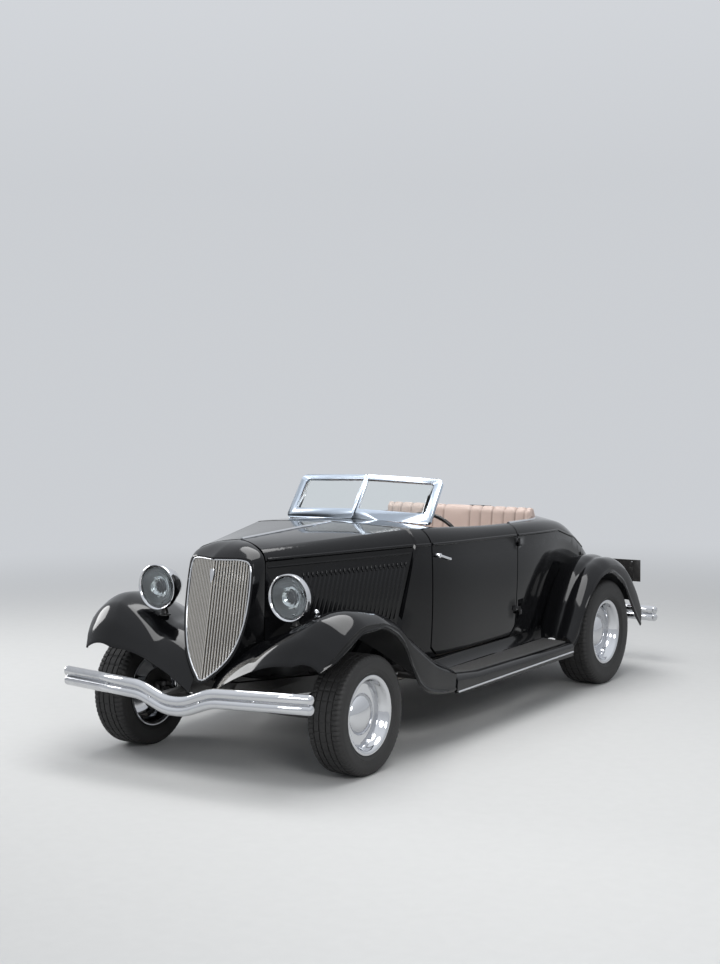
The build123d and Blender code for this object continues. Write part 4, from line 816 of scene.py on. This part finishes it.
def tyre_profile(half, outer):
    """Points round a tyre: beads, ringed sidewalls, shoulders and a tread with four grooves."""
    bead, low = half * 0.8, 0.2095
    middle = (low + outer) / 2
    flank = [
        (bead, 0.1923), (bead, low), (bead + 0.004, low + 0.004), (half * 0.955, low + 0.016),
        (half * 0.975, low + 0.023), (half * 0.968, low + 0.0245), (half * 0.968, low + 0.0275),
        (half * 0.982, low + 0.029), (half * 0.995, middle - 0.003), (half * 0.998, middle + 0.01),
        (half * 0.985, outer - 0.034), (half * 0.972, outer - 0.031), (half * 0.965, outer - 0.024),
        (half * 0.93, outer - 0.014), (half * 0.86, outer - 0.0055), (half * 0.80, outer - 0.0022),
        (half * 0.76, outer - 0.001),
    ]
    for at in (0.52, 0.2):
        x = half * at
        flank += [(x + groove_half, outer - 0.0002), (x + groove_half * 0.7, outer - groove_deep),
                  (x - groove_half * 0.7, outer - groove_deep), (x - groove_half, outer - 0.0001)]
    return flank + [(-x, r) for x, r in reversed(flank)]


rubber = satin("rubber", (0.012, 0.012, 0.0125), 0.62, (0.022, 0.021, 0.020), scale=120.0)
for end, track, y, z, half, outer in axles:
    for side, tag in sides:
        body = f"{end}_{tag}_wheel"
        turned(f"wheel_{end}_{tag}_steel", wheel_profile(half), (side * track, y, z), (side, 0, 0),
               body=body, replaced=[f"wheel_{end}_{tag}"], steps=128, angle=45)
        profile = tyre_profile(half, outer)
        points = []
        for along, radius in profile:
            share = abs(along) / half
            for k in range(tread_steps):
                turn = math.tau * k / tread_steps
                cut = 0.0
                if radius > outer - 0.02 and 0.5 < share < 0.97 and k % 4 == 0:
                    cut = shoulder_cut
                if radius > outer - 0.003 and share <= 0.5 and (k + 2) % 8 == 0:
                    cut = tread_cut
                r = radius - cut
                points.append((side * track + side * along, y + r * math.cos(turn), z + r * math.sin(turn)))
        faces = net(len(profile), tread_steps, closed_rows=True, closed_columns=True)
        smooth_piece(f"tyre_{end}_{tag}_rubber", points, faces, rubber, body,
                     [f"tyre_{end}_{tag}"], 35)

# Each running board carries a ribbed rubber mat on its tread and a bright bead along its lower edge.
mat_rubber = satin("mat_rubber", (0.075, 0.075, 0.078), 0.36, (0.10, 0.097, 0.09), scale=60.0)
rib_wide, rib_high = 0.0072, 0.0045
rib_places = np.linspace(0.655, 0.800, 12)
rib_stops = np.linspace(-0.73, 0.72, 13)
rib_ring = [(-0.5, 0), (-0.35, 1), (0.35, 1), (0.5, 0)]
rib_points = [(u, v, w) for v in (0.0, 1.0) for u, w in rib_ring]
rib_unit = shaded_mesh("mat_rib", rib_points, net(2, 4, closed_columns=True, capped=True))
for side, tag in sides:
    node = f"running_board_{tag}"
    low_line = []
    for y in np.linspace(-0.735, 0.725, 60):
        nose = on_skin(node, (side * 1.2, y, 0.30), (-side, 0, 0))
        if nose:
            low_line.append((nose.x - side * 0.001, y, 0.296))
    run_along(f"board_bead_{tag}", low_line, 0.006)
    ribs = []
    for x in rib_places:
        for y0, y1 in zip(rib_stops, rib_stops[1:]):
            a = on_skin(node, (side * x, y0, 0.9), (0, 0, -1))
            b = on_skin(node, (side * x, y1, 0.9), (0, 0, -1))
            if a and b:
                tilt = math.atan2(b.z - a.z, b.y - a.y)
                ribs.append(((side * x, y0, a.z), (tilt, 0, 0), (rib_wide, (b - a).length, rib_high)))
    laid_out(f"board_mat_{tag}", rib_unit, ribs, mat_rubber)

# The door handles are cast levers on round bosses, chromed. Each is fixed to the door's skin near its front
# edge, just under the belt moulding.
for tag in ("left", "right"):
    rounded_copy(f"door_handle_{tag}", chrome, 40)

# The tail lamps are chromed bullets on bent arms, each with a red glass behind a bright rim. The left arm
# also carries the number plate, black with a bare white face.
rounded_copy("tail_lamps", chrome, 40)
red_glass, shader, add, feed = wired("red_glass")
spot = add("ShaderNodeTexCoord").outputs["Object"]
cells = add("ShaderNodeTexVoronoi", {"Vector": spot, "Scale": 260.0}).outputs["Distance"]
feed(shader, {"Normal": dented(add, cells, 0.35, 0.002), "Base Color": (0.45, 0.006, 0.008, 1),
              "Roughness": 0.12, "Coat Weight": 0.6})
lens_shape = [(0.004, 0.0305), (0.012, 0.0295), (0.020, 0.024), (0.0255, 0.014), (0.0275, 0.0)]
rim_shape = [(-0.004, 0.0352), (-0.004, 0.0375), (0.004, 0.0382), (0.010, 0.0365), (0.011, 0.0315),
             (0.004, 0.0305), (-0.004, 0.0352)]
for side, tag in sides:
    spot = (side * 0.640, 2.078, 0.500)
    turned(f"tail_lamp_{tag}_lens", lens_shape, spot, rearward, red_glass, steps=40, angle=50)
    turned(f"tail_lamp_{tag}_rim", rim_shape, spot, rearward, steps=40)
plate_white = satin("plate_white", (0.62, 0.62, 0.58), 0.45, (0.52, 0.52, 0.49), scale=50.0)
plate = softened("number_plate", frame_black, 0.0008, 2)
plate.data.materials.append(plate_white)
for face in plate.data.polygons:
    face.material_index = 1 if face.normal.y > 0.8 else 0

# The bench is upholstered in pleated hide over springs and wadding. The pads are padded out by a cloth
# simulation that blows the cover up between its sewn channels, and the channels are drawn in afterwards.
hide, shader, add, feed = wired("hide")
spot = add("ShaderNodeTexCoord").outputs["Object"]
pores = add("ShaderNodeTexVoronoi", {"Vector": spot, "Scale": 420.0}).outputs["Distance"]
wear = noise(add, 7.0, 5.0)
tone = mixed(add, wear, (0.50, 0.385, 0.335), (0.58, 0.46, 0.405))
# The darker brown along each sewn channel is painted shade in its sunken groove.
seam = add("ShaderNodeAttribute", attribute_name="seam").outputs["Fac"]
feed(shader, {
    "Base Color": mixed(add, seam, tone, (0.13, 0.085, 0.065)), "Roughness": spread(add, wear, 0.38, 0.55),
    "Normal": dented(add, pores, 0.22, 0.0012), "Sheen Weight": 0.12,
})
blow_frames, blow_cap = 20, 0.022
fine_size, crease_deep, crease_half = 0.008, 0.010, 0.0065


def pad(node, channels, facing):
    """One pad: the CAD solid drawn in, remeshed, blown up between its channels, and creased along them."""
    mesh = frame["nodes"][node].data.copy()
    corner = np.array([v.co for v in mesh.vertices])
    low, high = corner.min(0), corner.max(0)
    centre = (low + high) / 2
    inner = 1 - 2 * np.array([0.012, 0.014, 0.014]) / (high - low)
    for v in mesh.vertices:
        v.co = Vector(centre + (np.array(v.co) - centre) * inner)
    merged(mesh, 0.00005)
    mesh.materials.clear()
    mesh.materials.append(hide)
    cover = bpy.data.objects.new(node + "_pad", mesh)
    scene.collection.objects.link(cover)
    skin = cover.modifiers.new("skin", "REMESH")
    skin.mode, skin.voxel_size, skin.use_smooth_shade = "VOXEL", fine_size, True
    seen_now = bpy.context.evaluated_depsgraph_get()
    fine = bpy.data.meshes.new_from_object(cover.evaluated_get(seen_now), depsgraph=seen_now)
    cover.modifiers.clear()
    cover.data = fine
    count = len(fine.vertices)
    rest = np.empty(count * 3)
    fine.vertices.foreach_get("co", rest)
    rest = rest.reshape(-1, 3)
    from_line = np.abs(rest[:, 0:1] - np.array(channels)[None, :]).min(1)
    if facing == "up":
        near_base = rest[:, 2] < low[2] + 0.05
        inward = np.array([0, 0, -1.0])
    else:
        near_base = (rest[:, 1] > high[1] - 0.045) & (rest[:, 2] < high[2] - 0.08)
        inward = np.array([0, 0.8, -0.9])
    held = cover.vertex_groups.new(name="held")
    fixed = np.nonzero((from_line < fine_size * 0.6) | near_base)[0]
    held.add([int(i) for i in fixed], 1.0, "REPLACE")
    cloth = cover.modifiers.new("cloth", "CLOTH")
    cloth.settings.quality = 5
    cloth.settings.mass = 0.3
    cloth.settings.vertex_group_mass = "held"
    cloth.settings.use_pressure = True
    cloth.settings.uniform_pressure_force = 4.0
    cloth.settings.effector_weights.gravity = 0
    cloth.point_cache.frame_start, cloth.point_cache.frame_end = 1, blow_frames
    for step in range(1, blow_frames + 1):
        scene.frame_set(step)
    seen_now = bpy.context.evaluated_depsgraph_get()
    blown = cover.evaluated_get(seen_now).to_mesh()
    now = np.empty(count * 3)
    blown.vertices.foreach_get("co", now)
    shift = now.reshape(-1, 3) - rest
    far = np.linalg.norm(shift, axis=1)
    shift *= (np.minimum(far, blow_cap) / np.maximum(far, 1e-9))[:, None]
    moved = rest + shift
    cover.modifiers.clear()
    scene.frame_set(1)
    crease = np.exp(-(from_line / crease_half) ** 2) * ~near_base
    moved += crease_deep * crease[:, None] * inward
    moved = np.clip(moved, low - 0.004, high + 0.004)
    fine.vertices.foreach_set("co", moved.ravel())
    # Painted shade along the channels' grooves, darkest at their bottoms.
    fine.attributes.new("seam", "FLOAT", "POINT").data.foreach_set("value", 0.75 * crease ** 2)
    fine.update()
    rounder = cover.modifiers.new("round", "SUBSURF")
    rounder.levels = rounder.render_levels = 1
    piece = settle(node + "_hide", cover, hide, replaced=[node])
    piece.data.polygons.foreach_set("use_smooth", [True] * len(piece.data.polygons))


channels = [side * x for x in (0.097, 0.177, 0.262, 0.345, 0.427, 0.495) for side in (-1, 1)]
pad("seat_cushion", channels, "up")
pad("seat_back", channels, "forward")

# The door linings are hide over board, pleated upright to match the bench, and lie on each door's inner face.
# Their padding and pleats run out to nothing in a narrow border.
lining_low, lining_high, lining_front, lining_rear = 0.50, 0.99, -0.555, 0.275
lining_border, pleat_pitch, pleat_high = 0.02, 0.083, 0.0045
rows, columns = 26, 90
around = [*range(columns), *[r * columns + columns - 1 for r in range(1, rows)]]
around += [rows * columns - 1 - k for k in range(1, columns)]
around += [r * columns for r in range(rows - 2, 0, -1)]
for side, tag in sides:
    node = f"door_{tag}"
    front, back = [], []
    for z in np.linspace(lining_low, lining_high, rows):
        for y in np.linspace(lining_front, lining_rear, columns):
            hit = on_skin(node, (0, y, z), (side, 0, 0))
            x = abs(hit.x) if hit and abs(hit.x) > 0.45 else 0.56
            edge = min(z - lining_low, lining_high - z, y - lining_front, lining_rear - y) / lining_border
            pleat = pleat_high * abs(math.sin(math.pi * (y - lining_front) / pleat_pitch)) ** 0.5
            front.append((side * (x - 0.003 - (0.004 + pleat) * max(min(edge, 1), 0)), y, z))
            back.append((side * (x + 0.001), y, z))
    faces = net(rows, columns)
    faces += [tuple(rows * columns + k for k in reversed(face)) for face in net(rows, columns)]
    for a, b in zip(around, around[1:] + around[:1]):
        faces.append((a, b, rows * columns + b, rows * columns + a))
    smooth_piece(f"door_lining_{tag}", front + back, faces, hide, node, angle=50)

# A rubber seal on each door post closes the shut gap from inside. It is glued to the post and leans over the
# door's rear edge.
for side, tag in sides:
    strips = []
    for z in np.linspace(0.46, 1.085, 40):
        post = on_skin("rear_body", (0, 0.346, z), (side, 0, 0))
        edge = on_skin(f"door_{tag}", (0, 0.300, z), (side, 0, 0))
        if post and edge and abs(post.x) > 0.4 and abs(edge.x) > 0.4:
            near = min(abs(post.x), abs(edge.x))
            strip = [(abs(post.x) + 0.0005, 0.350), (near - 0.0025, 0.332), (near - 0.0025, 0.300)]
            strip += [(x - 0.003, y) for x, y in reversed(strip)]
            strips.append([(side * x, y, z) for x, y in strip])
    if len(strips) > 2:
        faces = net(len(strips), 6, closed_columns=True, capped=True)
        points = [point for strip in strips for point in strip]
        smooth_piece(f"door_seal_{tag}", points, faces, rubber)

# The cockpit's rear edge is finished with a bright rolled bead, fixed along the edge of the opening from one
# door post round to the other.
rim = []
edge_plan = [(0.604, 0.34), (0.590, 0.62), (0.577, 0.72), (0.547, 0.80), (0.508, 0.873), (0.40, 0.876),
             (0.0, 0.877)]
edge_plan += [(-x, y) for x, y in reversed(edge_plan[:-1])]
for (x0, y0), (x1, y1) in zip(edge_plan, edge_plan[1:]):
    for share in np.linspace(0, 1, 8)[:-1]:
        x, y = x0 + (x1 - x0) * share, y0 + (y1 - y0) * share
        hit = on_skin("rear_body", (x, y + 0.004, 2.0), (0, 0, -1))
        if hit and hit.z > 1.0:
            rim.append((x, y, hit.z + 0.001))
run_along("cockpit_bead", rim, 0.009)

# The dashboard is a painted steel panel with two large and three small round gauges in bright rims on its
# face. Each dial has plain white ticks and a needle, and no figures.
dash_black = satin("dash_black", (0.012, 0.012, 0.013), 0.22, (0.018, 0.018, 0.018))
softened("dashboard", dash_black, 0.004, 3)
softened("steering_column", dash_black, 0.002, 2)
dial_black = satin("dial_black", (0.01, 0.01, 0.01), 0.5, (0.014, 0.014, 0.014), scale=150.0)
tick_white = satin("tick_white", (0.72, 0.71, 0.66), 0.5, (0.66, 0.65, 0.6), scale=90.0)
dash_face_y = -0.493
gauges = [(0.245, 1.062, 0.044), (0.415, 1.062, 0.044), (0.115, 1.065, 0.027), (0.035, 1.065, 0.027),
          (-0.045, 1.065, 0.027)]
tick_sweep, tick_count = 270, 20
tick_unit = shaded_mesh("tick", [(x, y, z) for y in (0, 1) for z in (0, 1) for x in (-0.5, 0.5)],
                        [(0, 1, 3, 2), (4, 6, 7, 5), (0, 4, 5, 1), (2, 3, 7, 6), (0, 2, 6, 4), (1, 5, 7, 3)])
ticks = []
for number, (x, z, radius) in enumerate(gauges):
    spot = (x, dash_face_y, z)
    rim_line = [(-0.001, radius), (-0.001, radius + 0.006), (0.005, radius + 0.0055), (0.008, radius + 0.003),
                (0.007, radius), (0.003, radius - 0.0015), (-0.001, radius)]
    dial = [(0.0, radius), (0.0015, radius), (0.002, radius * 0.5), (0.002, 0.0)]
    turned(f"gauge_rim_{number}", rim_line, spot, rearward, steps=48)
    turned(f"gauge_dial_{number}", dial, spot, rearward, dial_black, steps=48)
    for k in range(tick_count + 1):
        turn = math.radians(225 - tick_sweep * k / tick_count)
        long = radius * (0.2 if k % 5 == 0 else 0.12)
        reach = radius * 0.9 - long
        ticks.append(((x + reach * math.cos(turn), dash_face_y + 0.0015, z + reach * math.sin(turn)),
                      (0, math.pi / 2 - turn, 0), (0.0012, 0.0008, long)))
    needle_turn = (0, math.radians(50 + 30 * number), 0)
    ticks.append(((x, dash_face_y + 0.0022, z), needle_turn, (0.0016, 0.0009, radius * 0.72)))
laid_out("gauge_ticks", tick_unit, ticks, tick_white)

# The steering wheel has a black moulded rim on three slim bright spokes, with a domed boss. It sits square on
# the column, which leans towards the driver.
wheel_at, wheel_out = Vector((0.33, -0.105, 1.05)), Vector((0, 0.882, 0.471)).normalized()
wheel_up = Vector((0, -0.471, 0.882)).normalized()
rim_radius = 0.195
rim = [wheel_at + Vector((1, 0, 0)) * rim_radius * math.cos(a) + wheel_up * rim_radius * math.sin(a)
       for a in np.linspace(0, math.tau, 96, endpoint=False)]
run_along("steering_rim", rim, 0.0118, dash_black, "steering", closed=True,
          replaced=["steering_wheel"])
for number, degrees in enumerate((20, 160, 270)):
    turn = math.radians(degrees)
    spoke = Vector((math.cos(turn), 0, 0)) + wheel_up * math.sin(turn)
    points = [wheel_at + spoke * r for r in np.linspace(0.02, 0.186, 8)]
    run_along(f"steering_spoke_{number}", points, 0.0075, body="steering")
boss = [(-0.0255, 0.0), (-0.0255, 0.033), (0.0, 0.034), (0.006, 0.032), (0.010, 0.026), (0.0118, 0.014),
        (0.012, 0.0)]
turned("steering_boss", boss, wheel_at, wheel_out, dash_black, "steering", steps=48)
